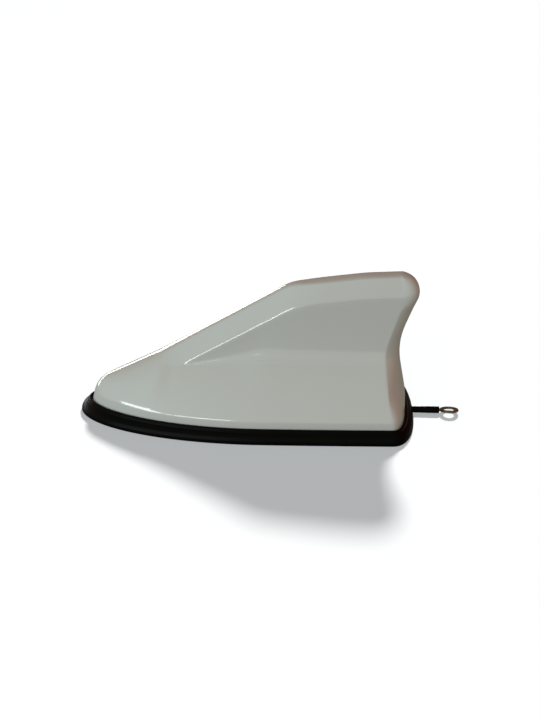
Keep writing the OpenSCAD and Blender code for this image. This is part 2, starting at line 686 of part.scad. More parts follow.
module anti_rattle_foam() {
    start = 14;
    l = 20;
    w = 2.4;
    x0 = x_nose + slope_l + start;
    // Height of the blade's top edge at a distance from the bend
    function edge_z(s) = mix(blade_top - 4.5, blade_top - 0.4, s / 36);
    color([0.35, 0.35, 0.37]) translate([0, w / 2, 0]) rotate([90, 0, 0]) linear_extrude(w)
        polygon([[x0, edge_z(start)], [x0 + l, edge_z(start + l)],
                 [x0 + l, ridge_z(x0 + l) - wall - 0.8], [x0, ridge_z(x0) - wall - 0.8]]);
}

cover();
gasket();
base_plate();
adhesive_pad();
release_liner();
base_screws();
circuit_board();
board_screws();
radiator_carrier();
carrier_screws();
radiator_plate();
coil_former();
loading_coil();
shield_can();
amplifier_transistor();
ferrite_choke();
capacitors();
resistors();
lead_clip();
lead();
lead_sleeve();
ring_terminal();
anti_rattle_foam();
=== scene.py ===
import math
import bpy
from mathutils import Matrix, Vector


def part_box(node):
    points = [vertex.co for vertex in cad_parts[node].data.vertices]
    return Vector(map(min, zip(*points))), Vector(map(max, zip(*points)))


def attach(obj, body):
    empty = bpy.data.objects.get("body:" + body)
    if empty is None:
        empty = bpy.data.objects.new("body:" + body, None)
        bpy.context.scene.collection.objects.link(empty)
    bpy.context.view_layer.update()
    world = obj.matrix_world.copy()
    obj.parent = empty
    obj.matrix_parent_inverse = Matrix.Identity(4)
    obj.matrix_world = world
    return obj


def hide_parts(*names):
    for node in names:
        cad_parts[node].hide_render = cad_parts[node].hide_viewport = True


bl_info = {
    "name": "Shark Fin Aerial",
    "version": (1, 0, 0),
    "blender": (4, 5, 0),
    "location": "View3D > Sidebar > Aerial",
    "description": "Dresses a shark fin roof aerial with its moulded cover, rubber gasket, lead and studio",
    "category": "Object",
}

import bmesh
import bpy
import numpy as np
from mathutils import Matrix, Vector
from mathutils.bvhtree import BVHTree

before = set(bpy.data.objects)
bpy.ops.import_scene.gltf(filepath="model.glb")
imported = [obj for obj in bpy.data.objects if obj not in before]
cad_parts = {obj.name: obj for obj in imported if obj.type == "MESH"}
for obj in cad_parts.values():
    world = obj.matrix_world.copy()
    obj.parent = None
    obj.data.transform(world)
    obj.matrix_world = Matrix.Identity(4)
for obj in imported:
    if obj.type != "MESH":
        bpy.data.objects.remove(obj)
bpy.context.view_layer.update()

MM = 0.001

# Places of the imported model, in millimetres
GASKET_LOW, GASKET_HIGH = (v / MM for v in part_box("gasket"))
PLATE_LOW, _ = (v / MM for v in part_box("base_plate"))
BOARD_LOW, BOARD_HIGH = (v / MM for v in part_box("circuit_board"))
COIL_LOW, COIL_HIGH = (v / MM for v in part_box("loading_coil"))
SLEEVE_LOW, SLEEVE_HIGH = (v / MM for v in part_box("lead_sleeve"))
_, RING_HIGH = (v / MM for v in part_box("ring_terminal"))
X_NOSE, X_REAR = GASKET_LOW.x, GASKET_HIGH.x

# Camera, lamps and floor, in metres
CAMERA_PLACE = (0.030719, -0.547793, 0.271082)
CAMERA_AIM = (0.01159, 0, 0.02704)
CAMERA_SHIFT = 0.0011
LAMP_AIM = (0, 0, 0.03)
WINDOW_PLACE = (-0.608, -0.751, 0.259)
WINDOW_SIZE = (0.96, 0.17)
WINDOW_COLOUR = (0.87, 0.97, 1)
FILL_PLACE = (-0.8, 1.0, 0.1)
FILL_SIZE = (1.2, 0.25)
FILL_COLOUR = (1, 0.98, 0.95)
BACK_DIRECTION = (-0.2, -1.5, -1)
BACK_DEGREES = 7
FLOOR_RADIUS = 6
FLOOR_DROP = 0.00005

# Floor that the camera sees, and the dimmer one that lights the aerial: colour and strength
FLOOR_GLOW = ((0.93, 0.97, 1, 1), 0.4)
FLOOR_LIGHT = ((0.96, 1.00, 0.83, 1), 0.209)
FLOOR_COLOUR = (0.12, 0.12, 0.12, 1)

# Light of the room: middle value and rise along X, Y and Z of each colour channel, and the least value
ROOM_LIGHT = {"Red": (0.462, (-0.053, -0.262, -0.023)), "Green": (0.274, (-0.188, -0.368, 0.167)),
              "Blue": (0.206, (-0.232, -0.41, 0.171))}
ROOM_LEAST = 0.03

# Route of the lead, in metres: from the board over its notch, down through the plate and back under it
LEAD_ROUTE = [
    (0.032, 0, 0.0144), (0.029, 0, 0.0143), (0.026, 0, 0.0134), (0.024, 0, 0.0113),
    (0.0232, 0, 0.0084), (0.0238, 0, 0.005), (0.0258, 0, 0.0026), (0.0288, 0, 0.0016),
    (0.034, 0, 0.0015), (0.041, 0, 0.0015), (0.048, 0, 0.0015), (0.055, 0, 0.0015),
    (0.062, 0, 0.0015), (0.069, 0, 0.0015), (0.074, 0, 0.0016), (0.078, 0, 0.00175),
    (0.084, 0, 0.00175), (0.091, 0, 0.00175),
]


def length_setting(name, description, default, **limits):
    """Setting that holds a length, in metres."""
    return bpy.props.FloatProperty(name=name, description=description, default=default, unit="LENGTH",
                                   **limits)


def angle_setting(name, description, degrees):
    """Setting that holds an angle."""
    return bpy.props.FloatProperty(name=name, description=description, default=math.radians(degrees),
                                   subtype="ANGLE")


def colour_setting(name, description, default):
    """Setting that holds a colour."""
    return bpy.props.FloatVectorProperty(name=name, description=description, default=default, size=3,
                                         subtype="COLOR")


def brightness_setting(name, description, default):
    """Setting that holds the brightness of a light."""
    return bpy.props.FloatProperty(name=name, description=description, default=default, min=0)


class CoverSettings(bpy.types.PropertyGroup):
    """Sizes of the moulded cover"""

    wall: length_setting("Wall", "Thickness of the cover's wall", 0.0024, min=0.0018, max=0.0028)
    rim: length_setting("Rim", "How far the gasket shows beyond the cover", 0.0046)
    fin_height: length_setting("Fin height", "Height of the ridge line at its rear corner", 0.0738)
    nose_length: length_setting("Nose length", "Length over which the outline widens", 0.086)
    corner_length: length_setting("Rear corner", "Depth of the rounded rear corners in plan", 0.0078)
    skirt_height: length_setting("Skirt height", "Height of the upright skirt", 0.0052)
    ridge_width: length_setting("Ridge width", "Width of the ridge", 0.0098)
    band_height: length_setting("Band height", "Height of the band below the ridge", 0.01)
    band_lean: angle_setting("Band lean", "Lean of the band from upright", 27)
    tip_distance: length_setting("Tip distance", "Distance from the nose to the side panel", 0.0495)
    shoulder_height: length_setting("Shoulder height", "Height where the side panel meets the flank", 0.0315)
    shoulder_out: length_setting("Shoulder width", "How far the shoulder stands out from the band", 0.0036)
    slope_length: length_setting("Slope length", "Distance from the nose to the top of the slope", 0.104)
    crease_radius: length_setting("Crease softness", "Softness of the crease above the side panel", 0.0009)
    colour: colour_setting("Cover colour", "Colour of the moulded plastic", (0.52, 0.54, 0.52))


class GasketSettings(bpy.types.PropertyGroup):
    """Sizes of the rubber gasket"""

    ledge: length_setting("Ledge", "Height of the ledge that carries the cover", 0.005)
    lip: length_setting("Lip", "Height of the lip above the ledge", 0.0019)
    flange: length_setting("Flange", "Width of the flange under the base plate", 0.0052)
    edge_radius: length_setting("Edge softness", "Softness of the moulded rubber's edges", 0.0003)
    colour: colour_setting("Rubber colour", "Colour of the rubber", (0.0015, 0.0015, 0.0013))


class LeadSettings(bpy.types.PropertyGroup):
    """Sizes of the lead and its terminal"""

    diameter: length_setting("Lead diameter", "Diameter of the lead", 0.0028)
    sleeve_diameter: length_setting("Sleeve diameter", "Outer diameter of the shrink sleeve", 0.0034)
    ring_diameter: length_setting("Ring diameter", "Outer diameter of the ring terminal", 0.0094)
    ring_hole: length_setting("Ring hole", "Hole in the ring terminal", 0.0053)
    ring_thickness: length_setting("Ring thickness", "Thickness of the terminal's metal", 0.0008)
    ring_turn: angle_setting("Ring twist", "Twist of the terminal about the lead", -9)


class FixingSettings(bpy.types.PropertyGroup):
    """Sizes of screws and board parts"""

    screw_diameter: length_setting("Base screw", "Shank diameter of the base screws", 0.0024)
    screw_length: length_setting("Base screw length", "Length of the base screws", 0.01)
    head_diameter: length_setting("Base screw head", "Head diameter of the base screws", 0.0052)
    small_diameter: length_setting("Small screw", "Shank diameter of the board's screws", 0.0016)
    wire_diameter: length_setting("Coil wire", "Wire diameter of the loading coil", 0.0009)
    coil_diameter: length_setting("Coil diameter", "Mean diameter of the loading coil", 0.0075)
    coil_turns: bpy.props.IntProperty(
        name="Coil turns", description="Turns of the loading coil", default=8, min=4, max=12)


class StudioSettings(bpy.types.PropertyGroup):
    """Light, floor and camera"""

    window: brightness_setting("Window light", "Brightness of the window at the front left", 7.5)
    room: brightness_setting("Room light", "Brightness of the surroundings", 1.03)
    fill: brightness_setting("Back fill", "Brightness of the low, wide lamp that lights the far side", 6.0)
    back: brightness_setting("Back light", "Strength of the lamp behind, which lights the floor", 27.0)
    lens: bpy.props.FloatProperty(
        name="Lens", description="Focal length on a 36 mm sensor", default=61.245, min=20, max=200)


def mix(a, b, t):
    return a + (b - a) * t


def clamp01(t):
    return np.clip(t, 0, 1)


def smooth(a, b, x):
    t = clamp01((x - a) / (b - a))
    return t * t * (3 - 2 * t)


def soft_min(a, b, k):
    t = clamp01(0.5 + 0.5 * (b - a) / k)
    return mix(b, a, t) - k * t * (1 - t)


def bezier(a, b, c, t):
    t = np.asarray(t, float)[..., None]
    a, b, c = (np.asarray(v, float) for v in (a, b, c))
    return (1 - t) ** 2 * a + 2 * t * (1 - t) * b + t * t * c


def unit(v):
    return v / np.linalg.norm(v)


def fillet(a, b, c, r, n):
    """Arc of radius r that rounds the corner b between a and c."""
    u, v = unit(a - b), unit(c - b)
    half = math.acos(float(u @ v)) / 2
    m = b + unit(u + v) * r / math.sin(half)
    p = b + u * r / math.tan(half) - m
    q = b + v * r / math.tan(half) - m
    turn = math.pi - 2 * half
    return [m + (math.sin(turn * (1 - k / n)) * p + math.sin(turn * k / n) * q) / math.sin(turn)
            for k in range(n + 1)]


def rounded(nodes, n=60):
    """Open line through nodes (x, z, radius), rounded at every inner node."""
    p = [np.array(k[:2], float) for k in nodes]
    line = [p[0]]
    for i in range(1, len(p) - 1):
        line += fillet(p[i - 1], p[i], p[i + 1], nodes[i][2], n)
    return np.array(line + [p[-1]])


def lookup(points, column_in, column_out):
    """Function that reads column_out at a value of column_in."""
    order = np.argsort(points[:, column_in], kind="stable")
    xs, ys = points[order, column_in], points[order, column_out]
    return lambda v: np.interp(v, xs, ys)


def soften(line, sigma):
    """Points of an open line moved to a local average along its length, so its corners become round."""
    steps = np.linalg.norm(np.diff(line, axis=0), axis=1)
    s = np.concatenate([[0], np.cumsum(steps)])
    offsets = np.linspace(-2.4, 2.4, 13)
    weights = np.exp(-offsets ** 2 / 2)
    weights /= weights.sum()
    out = np.zeros_like(line)
    for o, w in zip(offsets, weights):
        at = s + o * sigma
        out += w * np.stack([np.interp(at, s, line[:, k]) for k in range(line.shape[1])], axis=1)
    return out


def crowded(n):
    """n shares between 0 and 1 that crowd towards both ends."""
    return 0.5 - 0.5 * np.cos(np.pi * np.arange(1, n + 1) / (n + 1))


class CoverForm:
    """Lofted form of the cover in millimetres: sections from nose to rear, then the rounded rear."""

    nose_gain, nose_exp, nose_round = 1.2, 1.67, 0.25
    corner_exp, edge_exp, top_exp = 2.4, 1.15, 2.6
    lip_step, lean = 1.2, 4.0
    # Distances behind the nose between which a feature changes, in millimetres
    nose_ends, dome_ends = (5, 40), (24, 58)
    ridge_narrows, ridge_widens = (30, 60), (92, 118)
    shoulder_rises, band_lowers = (75, 95), (96, 112)
    # The side panel reaches its full depth this far behind its tip, and thins out over this run
    panel_end, panel_run = 36, 38.5
    # Shares of the nose's plain dome that pass into the shoulder, the crease and the rows between them
    shoulder_at, crease_at = 7 / 17, 13 / 17
    flank_at = ((0, 0.15, 0.3, 0.45, 0.6, 0.75, 0.9, 1), np.arange(0, 8) / 17)
    panel_at = ((0, 0.06, 0.14, 0.26, 0.45, 0.7, 1), np.arange(7, 14) / 17)
    band_at = ((0, 0.25, 0.5, 0.75, 1), np.arange(13, 18) / 17)

    def __init__(self, s, g):
        self.ledge = g.ledge / MM
        self.rim = s.rim / MM
        self.fin_h = s.fin_height / MM
        self.nose_l = s.nose_length / MM
        self.corner_l = s.corner_length / MM
        self.skirt_h = s.skirt_height / MM
        self.ridge_w = s.ridge_width / MM
        self.band_h = s.band_height / MM
        self.band_lean = s.band_lean
        self.tip_l = s.tip_distance / MM
        self.shoulder_z = s.shoulder_height / MM
        self.shoulder_out = s.shoulder_out / MM
        self.crease_radius = s.crease_radius / MM
        self.x0 = X_NOSE + self.rim * 1.2
        self.x1 = X_REAR - self.rim
        self.half_w = GASKET_HIGH.y - self.rim
        self.full_w_x = self.x0 + self.nose_l
        x0, x1, fin_h, ledge = self.x0, self.x1, self.fin_h, self.ledge
        slope_l = s.slope_length / MM
        chin = (x0, ledge, 0)
        shoulder = (x0 + self.lean - 0.9, 16.3, 13)
        bend = (X_NOSE + 38, 30.4, 60)
        brow = (X_NOSE + slope_l, fin_h - 5.9, 22)
        crest = (X_NOSE + slope_l + 36, fin_h - 1.3, 120)
        rear = [crest, (x1 + 9.3, fin_h, 8.7), (x1 - 4.6, 38.5, 36), (x1, 14.5, 22), (x1, ledge, 0)]
        side = rounded([chin, shoulder, bend, brow] + rear)
        self.turn_x0 = x1 - 3.7
        keep = ((side[:, 1] > 12) & (side[:, 0] < x1 - 1.6)
                & ((side[:, 0] < brow[0]) | (side[:, 1] > brow[1] - 2)))
        self.ridge_z = lookup(side[keep], 0, 1)
        rear_pts = rounded(rear)
        self.rear_x = lookup(rear_pts[rear_pts[:, 1] < fin_h - 10], 1, 0)
        stem = rounded([chin, shoulder, bend])
        self.stem_x = lookup(stem[stem[:, 0] < shoulder[0] + 3], 1, 0)
        self.foot_x = x1 - self.corner_l
        self.edge_x = lookup(rounded([(self.foot_x, ledge, 0), (x1 - 11.1, 36.2, 24),
                                      (x1 - 3.4, fin_h - 13.8, 6), (x1 - 3.8, fin_h, 0)]), 1, 0)
        self.turn_z = fin_h - 15.5
        turn = [p for p in rear_pts if p[1] > self.turn_z and p[0] > self.turn_x0]
        turn = np.array([[self.turn_x0, self.ridge_z(self.turn_x0)]] + turn
                        + [[self.rear_x(self.turn_z), self.turn_z]])
        self.turn = turn
        self.turn_s = np.concatenate([[0], np.cumsum(np.linalg.norm(np.diff(turn, axis=0), axis=1))])

    def half_ring(self, off, n):
        """Half of the outline in plan moved outwards by off: nose, side, then rear corner."""
        nose_n, side_n, corner_n = n
        x0 = self.x0 - off * self.nose_gain
        w = self.half_w + off
        e = self.nose_exp + (0.06 if off > 0 else 0.04) * off
        k = self.nose_round ** 2
        b = max(self.corner_l + off, 2.5)
        xc = self.x1 + off - b
        a = np.pi / 2 * np.arange(nose_n) / nose_n
        s = np.sin(a)
        nose = np.stack([self.full_w_x - (self.full_w_x - x0) * np.cos(a),
                         w * s * ((s * s + k) / (1 + k)) ** (1 / e - 0.5)], axis=1)
        t = np.arange(side_n) / (side_n - 1)
        side = np.stack([mix(self.full_w_x, xc - self.lip_step, t), w - 0.6 * t * t], axis=1)
        a = np.pi / 2 * np.arange(corner_n + 1) / corner_n
        corner = np.stack([xc + b * np.sin(a) ** (2 / self.corner_exp),
                           (w - 0.6) * np.clip(np.cos(a), 0, 1) ** (2 / self.corner_exp)], axis=1)
        corner[-1, 1] = 0
        return np.concatenate([nose, side, corner])

    def section(self, p, inset, mesh):
        """One side of the cover at a point p of its foot, as rows of (y, z) from the foot to the ridge."""
        x, yb = p
        d = x - X_NOSE
        top = float(self.ridge_z(min(x + self.lean, self.turn_x0))) - inset
        h = top - self.ledge
        front = 1 - smooth(*self.dome_ends, d)
        blend = smooth(self.tip_l - 14, self.tip_l + 1, d)
        nose_fade = 1 - smooth(*self.nose_ends, d)
        rw = self.ridge_w / 2 - inset
        yr = rw * (1 - math.exp(-0.62 * yb / rw))
        y1 = yb * (0.97 - 0.05 * nose_fade)
        z1 = self.ledge + soft_min(self.skirt_h + 1.6 * nose_fade, 0.4 * h, 1) - 0.3 * inset
        # The side panel is flat: run goes from 1 at its tip to 0 where it has its full depth
        run = clamp01((self.tip_l + self.panel_end - d) / self.panel_run)
        band = self.band_h + mix(1.2, -0.8, smooth(*self.band_lowers, d)) - 1.2 * run
        band = soft_min(band, 0.42 * h, 3)
        rise = mix(2.6, 0.9, front) * clamp01(yb / 6)
        yc = yr + (self.band_h - rise) * math.tan(self.band_lean) + 2 * run
        # The flat of the ridge is narrower on the slope than behind the brow
        narrow = smooth(*self.ridge_narrows, d) * (1 - smooth(*self.ridge_widens, d))
        yr *= mix(1.04, 0.65, narrow)
        edge_h = mix(0.8, 0.9, front) * clamp01(yb / 6)
        panel_z = self.shoulder_z - 3.2 * run + 0.8 * smooth(*self.shoulder_rises, d) - 0.7 * inset
        zs = soft_min(top - band - 0.2, panel_z, 0.6)
        ys = yc + soft_min(self.shoulder_out, 0.2 * (top - band - zs), 0.5)
        skirt_top = np.array([y1, z1])
        shoulder = np.array([ys, zs])
        crease = np.array([yc, top - band])
        ridge = np.array([yr, top - edge_h])
        flank = np.array([mix(ys, y1, 0.57), mix(z1, zs, 0.57)])
        panel = np.array([mix(yc, ys, 0.15), mix(zs, crease[1], 0.12)])
        bulge = (crease + ridge) / 2 + mix(0.15, 0.6, run) * np.array([0.5, 0.85])
        crown = np.array([mix(yr - 0.75 * edge_h, 0.45 * yr, front), top])
        dome = np.array([mix(yr, y1, 0.6), mix(z1, ridge[1], 0.76)])
        skirt_t, flank_t, panel_t, band_t, edge_t, crown_t = mesh
        foot = np.array([yb, self.ledge])
        skirt = mix(foot, skirt_top, np.asarray(skirt_t)[:, None])
        side = np.concatenate([bezier(skirt_top, flank, shoulder, flank_t), [shoulder],
                               bezier(shoulder, panel, crease, panel_t), [crease],
                               bezier(crease, bulge, ridge, band_t)])
        share = np.concatenate([np.interp(flank_t, *self.flank_at), [self.shoulder_at],
                                np.interp(panel_t, *self.panel_at), [self.crease_at],
                                np.interp(band_t, *self.band_at)])
        side = mix(bezier(skirt_top, dome, ridge, share), side, blend)
        top_mid = np.array([0, top])
        rows = np.concatenate([[foot], skirt, [skirt_top], side, [ridge],
                               bezier(ridge, crown, top_mid, edge_t), bezier(ridge, crown, top_mid, crown_t)])
        if inset:
            return rows
        # Softness of the edges, feature by feature
        back = smooth(self.tip_l + 30, self.tip_l + 62, d)
        halves = [n for t in (flank_t, panel_t, band_t) for n in (len(t) / 2, len(t) / 2 + 1)]
        marks = np.cumsum([0, len(skirt_t) + 1, *halves, len(edge_t), len(crown_t)])
        reach = smooth(self.tip_l + 2, self.tip_l + 40, d)
        soft = [0, 0.4, 1, mix(0.35, 2.2, reach), 0.8, mix(self.crease_radius, 1.1, back), 0.7, 0.5, 0.5, 0.5]
        sigma = np.interp(np.arange(len(rows)), marks, soft) * clamp01(yb / 5)
        mirrored = rows[:-1][::-1] * [-1, 1]
        both = soften(np.concatenate([rows, mirrored]), np.concatenate([sigma, sigma[:-1][::-1]]))
        both[0] = foot
        out = both[: len(rows)]
        out[-1, 0] = 0
        return out

    def stand_x(self, x, z, top):
        """Side-view x of points at height z on the section that stands at foot x."""
        f = clamp01((z - self.ledge) / (top - self.ledge))
        full = self.ridge_z(self.x0 + self.lean) - self.ledge
        stem = (self.stem_x(self.ledge + f * full) - self.x0) / self.lean
        straight = x + self.lean * stem
        w = smooth(self.x1 - 48, self.foot_x, x)
        return mix(straight, straight + self.edge_x(z) - (self.foot_x + self.lean * stem), w)

    def rear_point(self, z, top, inset):
        """Point of the rear line that goes with height z on the edge."""
        if z <= self.turn_z - inset:
            return np.array([self.rear_x(z) - inset, z])
        f = 1 - clamp01((z - self.turn_z + inset) / (top - self.turn_z + inset))
        s = f * self.turn_s[-1]
        p = np.array([np.interp(s, self.turn_s, self.turn[:, 0]), np.interp(s, self.turn_s, self.turn[:, 1])])
        return p - inset * unit(p - np.array([self.x1 - 5, self.fin_h - 12]))

    def skin(self, inset, plan, mesh):
        """Vertices and faces of one skin, open at the foot, and its number of points round the foot."""
        h = self.half_ring(-inset, plan)
        last_side = plan[0] + plan[1]
        corner_n = plan[2]
        crown_n = len(mesh[5])
        half = []
        for i in range(last_side + 1):
            s = self.section(h[i], inset, mesh)
            half.append(np.stack([self.stand_x(h[i][0], s[:, 1], s[-1, 1]), s[:, 0], s[:, 1]], axis=1))
        top_row = len(half[0]) - 1 - crown_n
        edge = half[last_side]
        corner = np.zeros((corner_n, top_row + 1, 3))
        for j in range(top_row + 1):
            e = edge[j]
            r = self.rear_point(e[2], edge[top_row][2], inset)
            crisp = smooth(self.ledge + 3, 20, e[2]) * (1 - smooth(self.turn_z - 2, self.turn_z + 5, e[2]))
            soft = mix(self.corner_exp, self.top_exp, smooth(20, self.turn_z, e[2]))
            a = np.pi / 2 * np.arange(1, corner_n + 1) / corner_n
            out = np.sin(a) ** (2 / mix(soft, self.edge_exp, crisp))
            corner[:, j, 0] = mix(e[0], r[0], out)
            corner[:, j, 1] = e[1] * np.clip(np.cos(a), 0, 1) ** (2 / mix(soft, 2, crisp))
            corner[:, j, 2] = mix(e[2], r[1], out)
        corner[-1, :, 1] = 0
        cols = np.concatenate([np.array([c[: top_row + 1] for c in half]), corner])
        n = len(cols) - 1
        loop_n = 2 * n
        flip = np.array([1, -1, 1])
        verts = [np.concatenate([cols[:, j], cols[n - 1:0:-1, j] * flip]) for j in range(top_row + 1)]
        for i in range(1, last_side):
            line = half[i][top_row + 1:]
            verts.append(np.concatenate([line, line[:-1][::-1] * flip]))
        verts = np.concatenate(verts)
        top0, across, base = top_row * loop_n, 2 * crown_n - 1, (top_row + 1) * loop_n

        def cross(i, k):
            if k == 0 or i == 0:
                return top0 + i
            if i == last_side:
                return top0 + last_side + round(k * 2 * (n - last_side) / (across + 1))
            if k == across + 1:
                return top0 + loop_n - i
            return base + (i - 1) * across + k - 1

        faces = []
        for j in range(top_row):
            for i in range(loop_n):
                a, b = j * loop_n + i, j * loop_n + (i + 1) % loop_n
                faces.append((a, a + loop_n, b + loop_n, b))
        for i in range(last_side):
            for k in range(across + 1):
                a, b, c, d = cross(i, k), cross(i, k + 1), cross(i + 1, k + 1), cross(i + 1, k)
                faces.append((a, b, c, d) if i else (a, c, d))
        return verts, faces, loop_n


def new_object(name, verts, faces, material, angle):
    """Mesh object from vertices in millimetres, facing outwards, smooth below an angle in degrees."""
    mesh = bpy.data.meshes.new(name)
    mesh.from_pydata((np.asarray(verts) * MM).tolist(), [], faces)
    bm = bmesh.new()
    bm.from_mesh(mesh)
    bmesh.ops.remove_doubles(bm, verts=bm.verts, dist=1e-7)
    bmesh.ops.recalc_face_normals(bm, faces=bm.faces)
    bm.to_mesh(mesh)
    bm.free()
    mesh.polygons.foreach_set("use_smooth", [True] * len(mesh.polygons))
    mesh.set_sharp_from_angle(angle=math.radians(angle))
    mesh.materials.append(material)
    obj = bpy.data.objects.new(name, mesh)
    bpy.context.scene.collection.objects.link(obj)
    return obj


def finish_piece(obj, slot, *nodes):
    """A finished piece rides on the body and stands for its CAD nodes, which it hides; its slot is not used.
    """
    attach(obj, "root")
    if nodes:
        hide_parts(*nodes)
    return obj


def applied(obj):
    """obj with its modifiers applied to its mesh."""
    graph = bpy.context.evaluated_depsgraph_get()
    mesh = bpy.data.meshes.new_from_object(obj.evaluated_get(graph))
    obj.modifiers.clear()
    obj.data = mesh
    mesh.name = obj.name
    return obj


def ring_faces(n, m, closed=True):
    """Faces between n rings of m points each. The last ring joins the first if closed."""
    return [(j * m + k, j * m + (k + 1) % m, (j + 1) % n * m + (k + 1) % m, (j + 1) % n * m + k)
            for j in range(n if closed else n - 1) for k in range(m)]


def lathe(profile, z, sides):
    """Vertices and faces of a solid turned about a line along X at height z. The profile is (radius, x)."""
    verts = []
    for r, x in profile:
        for k in range(sides):
            a = 2 * math.pi * k / sides
            verts.append((x, r * math.cos(a), z + r * math.sin(a)))
    return np.array(verts), ring_faces(len(profile), sides)


# Shader node groups that more than one material uses

def shader_group(name, inputs, outputs):
    group = bpy.data.node_groups.new(name, "ShaderNodeTree")
    for label, default in inputs:
        socket = group.interface.new_socket(label, in_out="INPUT", socket_type="NodeSocketFloat")
        socket.default_value = default
    for label in outputs:
        group.interface.new_socket(label, in_out="OUTPUT", socket_type="NodeSocketFloat")
    start, end = group.nodes.new("NodeGroupInput"), group.nodes.new("NodeGroupOutput")
    return group, start, end


def maths(nodes, links, operation, *values):
    node = nodes.new("ShaderNodeMath")
    node.operation = operation
    for i, v in enumerate(values):
        if hasattr(v, "is_output"):
            links.new(v, node.inputs[i])
        else:
            node.inputs[i].default_value = v
    return node.outputs[0]


def mixed_shader(nodes, links, factor, first, second):
    """Shader that is first where the factor is 0 and second where it is 1."""
    node = nodes.new("ShaderNodeMixShader")
    for source, socket in zip((factor, first, second), node.inputs):
        links.new(source, socket)
    return node.outputs[0]


def moulded_grain():
    """Soft mottle of a moulding and its fine surface grain, both from the object's own coordinates."""
    group, start, end = shader_group("Moulded grain", [("Mottle Scale", 30), ("Grain Scale", 900)],
                                     ["Mottle", "Grain", "Height"])
    n, l = group.nodes, group.links
    place = n.new("ShaderNodeTexCoord").outputs["Object"]
    mottle, grain = n.new("ShaderNodeTexNoise"), n.new("ShaderNodeTexNoise")
    mottle.inputs["Detail"].default_value = 3
    grain.inputs["Detail"].default_value = 2
    for tex, label in ((mottle, "Mottle Scale"), (grain, "Grain Scale")):
        l.new(place, tex.inputs["Vector"])
        l.new(start.outputs[label], tex.inputs["Scale"])
    l.new(mottle.outputs["Fac"], end.inputs["Mottle"])
    l.new(grain.outputs["Fac"], end.inputs["Grain"])
    l.new(maths(n, l, "MULTIPLY_ADD", grain.outputs["Fac"], 0.7, mottle.outputs["Fac"]), end.inputs["Height"])
    return group


def brushed_lines():
    """Fine drawn lines of a rolled or drawn metal, along the chosen axis' cross direction."""
    group, start, end = shader_group("Drawn lines", [("Scale", 400), ("Stretch", 20)], ["Lines", "Height"])
    n, l = group.nodes, group.links
    place = n.new("ShaderNodeTexCoord").outputs["Object"]
    split, join = n.new("ShaderNodeSeparateXYZ"), n.new("ShaderNodeCombineXYZ")
    l.new(place, split.inputs[0])
    l.new(maths(n, l, "DIVIDE", split.outputs["X"], start.outputs["Stretch"]), join.inputs["X"])
    l.new(split.outputs["Y"], join.inputs["Y"])
    l.new(split.outputs["Z"], join.inputs["Z"])
    lines = n.new("ShaderNodeTexNoise")
    lines.inputs["Detail"].default_value = 4
    l.new(join.outputs[0], lines.inputs["Vector"])
    l.new(start.outputs["Scale"], lines.inputs["Scale"])
    l.new(lines.outputs["Fac"], end.inputs["Lines"])
    l.new(lines.outputs["Fac"], end.inputs["Height"])
    return group


def foam_cells():
    """Open or closed cells of a foam."""
    group, start, end = shader_group("Foam cells", [("Scale", 1500)], ["Cells", "Height"])
    n, l = group.nodes, group.links
    cells = n.new("ShaderNodeTexVoronoi")
    l.new(n.new("ShaderNodeTexCoord").outputs["Object"], cells.inputs["Vector"])
    l.new(start.outputs["Scale"], cells.inputs["Scale"])
    l.new(cells.outputs["Distance"], end.inputs["Cells"])
    l.new(cells.outputs["Distance"], end.inputs["Height"])
    return group


GROUPS = {}
FINISHES = {}


def finish_material(name, colour, roughness, group, mask, height, values=None, tint=0.08, rough_span=0.06,
                    bump=0.1, distance=0.0001, metallic=0.0, ior=1.5, level=0.5, coat=0.0):
    """Principled material whose colour, roughness and bump vary with a shared group's mask and height."""
    mat = bpy.data.materials.new(name + "_finish")
    FINISHES[name] = mat
    mat.use_nodes = True
    n, l = mat.node_tree.nodes, mat.node_tree.links
    shader = n["Principled BSDF"]
    tex = n.new("ShaderNodeGroup")
    tex.node_tree = GROUPS[group]
    for label, value in (values or {}).items():
        tex.inputs[label].default_value = value
    ramp = n.new("ShaderNodeMix")
    ramp.data_type = "RGBA"
    l.new(tex.outputs[mask], ramp.inputs["Factor"])
    ramp.inputs[6].default_value = (*(c * (1 - tint) for c in colour), 1)
    ramp.inputs[7].default_value = (*(min(1, c * (1 + tint)) for c in colour), 1)
    l.new(ramp.outputs[2], shader.inputs["Base Color"])
    rough = maths(n, l, "MULTIPLY_ADD", tex.outputs[mask], rough_span * 2, roughness - rough_span)
    l.new(rough, shader.inputs["Roughness"])
    relief = n.new("ShaderNodeBump")
    relief.inputs["Strength"].default_value = bump
    relief.inputs["Distance"].default_value = distance
    l.new(tex.outputs[height], relief.inputs["Height"])
    l.new(relief.outputs["Normal"], shader.inputs["Normal"])
    for label, value in (("Metallic", metallic), ("IOR", ior), ("Specular IOR Level", level),
                         ("Coat Weight", coat), ("Coat Roughness", 0.05)):
        shader.inputs[label].default_value = value


def material(name):
    return FINISHES[name]


def dress_node(node, name):
    """Gives a carried-over CAD node its material."""
    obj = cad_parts[node]
    obj.data.materials.clear()
    obj.data.materials.append(material(name))


# Geometry Nodes

